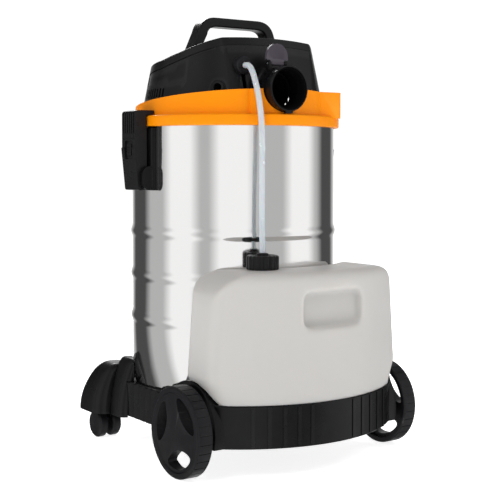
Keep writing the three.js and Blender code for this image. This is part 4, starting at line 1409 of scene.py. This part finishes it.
# ---------- Floor and light ----------
CAMERA_SIDE = math.degrees(math.atan2(CAMERA_PLACE[1], CAMERA_PLACE[0]))

# The studio round the machine, by degrees to the right of the camera: three soft panels in
# front, one behind and a black card at each side, on grey. Centre, half width and brightness.
PANELS = [
    (-60, 12, 1.1), (0, 15, 1.1), (80, 12, 1.1), (180, 12, 1.0),
    (-130, 14, 0.08), (130, 12, 0.08),
]
PANEL_FADE = 12  # degrees over which a panel's edge fades into the grey
STUDIO_GREY = 0.55


def glow(name, strength=1.0):
    """A material that only shines."""
    material = bpy.data.materials.new(name)
    material.use_nodes = True
    nodes, links = material.node_tree.nodes, material.node_tree.links
    nodes.clear()
    lamp = nodes.new("ShaderNodeEmission")
    lamp.inputs["Strength"].default_value = strength
    links.new(lamp.outputs[0], nodes.new("ShaderNodeOutputMaterial").inputs["Surface"])
    return material


def studio_glow():
    """The panels and cards as one glow round the vertical axis."""
    material = glow("studio_panels")
    nodes, links = material.node_tree.nodes, material.node_tree.links
    lamp = nodes["Emission"]
    place = nodes.new("ShaderNodeTexCoord").outputs["Object"]
    turn = nodes.new("ShaderNodeTexGradient")
    turn.gradient_type = "RADIAL"
    ramp = nodes.new("ShaderNodeValToRGB")
    stops = []
    for centre, half, level in PANELS:
        edge = half + PANEL_FADE
        fade = ((-edge, STUDIO_GREY), (-half, level), (half, level), (edge, STUDIO_GREY))
        for offset, value in fade:
            stops.append((((CAMERA_SIDE + centre + offset) / 360 + 0.5) % 1, value))
    stops.sort()
    elements = ramp.color_ramp.elements
    while len(elements) < len(stops):
        elements.new(0.5)
    for element, (at, level) in zip(elements, stops):
        element.position = at
        element.color = (level, level, level, 1)
    links.new(place, turn.inputs["Vector"])
    links.new(turn.outputs["Fac"], ramp.inputs["Fac"])
    links.new(ramp.outputs["Color"], lamp.inputs["Color"])
    return material


def stage_piece(name, obj, material, camera=False, glossy=False):
    """A piece of the studio, seen only by the kinds of light path that are named."""
    obj.name = name
    obj.data.materials.clear()
    obj.data.materials.append(material)
    obj.visible_camera = camera
    obj.visible_glossy = glossy
    obj.visible_diffuse = False
    obj.visible_transmission = camera
    obj.visible_shadow = False
    obj.visible_volume_scatter = False


def make_floor():
    bpy.ops.mesh.primitive_plane_add(size=40, location=(0, 0, 0))
    floor = bpy.context.object
    floor.name = "floor"
    floor.data.materials.append(pale_floor())
    floor.visible_glossy = False


def make_studio():
    """Reflections come from a ring of panels and a dim ceiling; the backdrop is white."""
    ring = moved(pipe(3.05, 3.0, -7.0, 4.0, 96), y=AXIS_Y)
    roof = moved(rod(3.1, 4.0, 4.05, 96), y=AXIS_Y)
    wall = pipe(18.1, 18.0, -1.0, 14.0, 96)
    stage_piece("studio_ring", ring, studio_glow(), glossy=True)
    stage_piece("studio_roof", roof, glow("studio_ceiling", 0.3), glossy=True)
    stage_piece("studio_backdrop", wall, glow("studio_white", 1.05), camera=True)


def soft_box(name, place, target, size, power, glossy=False):
    data = bpy.data.lights.new(name, "AREA")
    data.shape = "RECTANGLE"
    data.size, data.size_y = size
    data.energy = power
    light = bpy.data.objects.new(name, data)
    light.location = place
    light.visible_glossy = glossy
    aim = Vector(target) - Vector(place)
    light.rotation_euler = aim.to_track_quat("-Z", "Y").to_euler()
    bpy.context.scene.collection.objects.link(light)


def make_world(strength):
    world = bpy.data.worlds.new("studio")
    world.use_nodes = True
    sky = world.node_tree.nodes["Background"]
    sky.inputs["Color"].default_value = (1, 1, 1, 1)
    sky.inputs["Strength"].default_value = strength
    bpy.context.scene.world = world


make_floor()
make_studio()
make_world(0.3)
soft_box("key", (-2.4, -1.2, 2.7), (0, 0, 0.35), (1.2, 1.2), 36)
soft_box("fill", (1.6, -2.4, 2.9), (0, 0, 0.35), (1.2, 1.2), 28)
soft_box("rim", (0.6, 2.4, 2.6), (0, 0, 0.5), (1.2, 1.2), 60, glossy=True)
bpy.context.scene.view_settings.view_transform = "Standard"
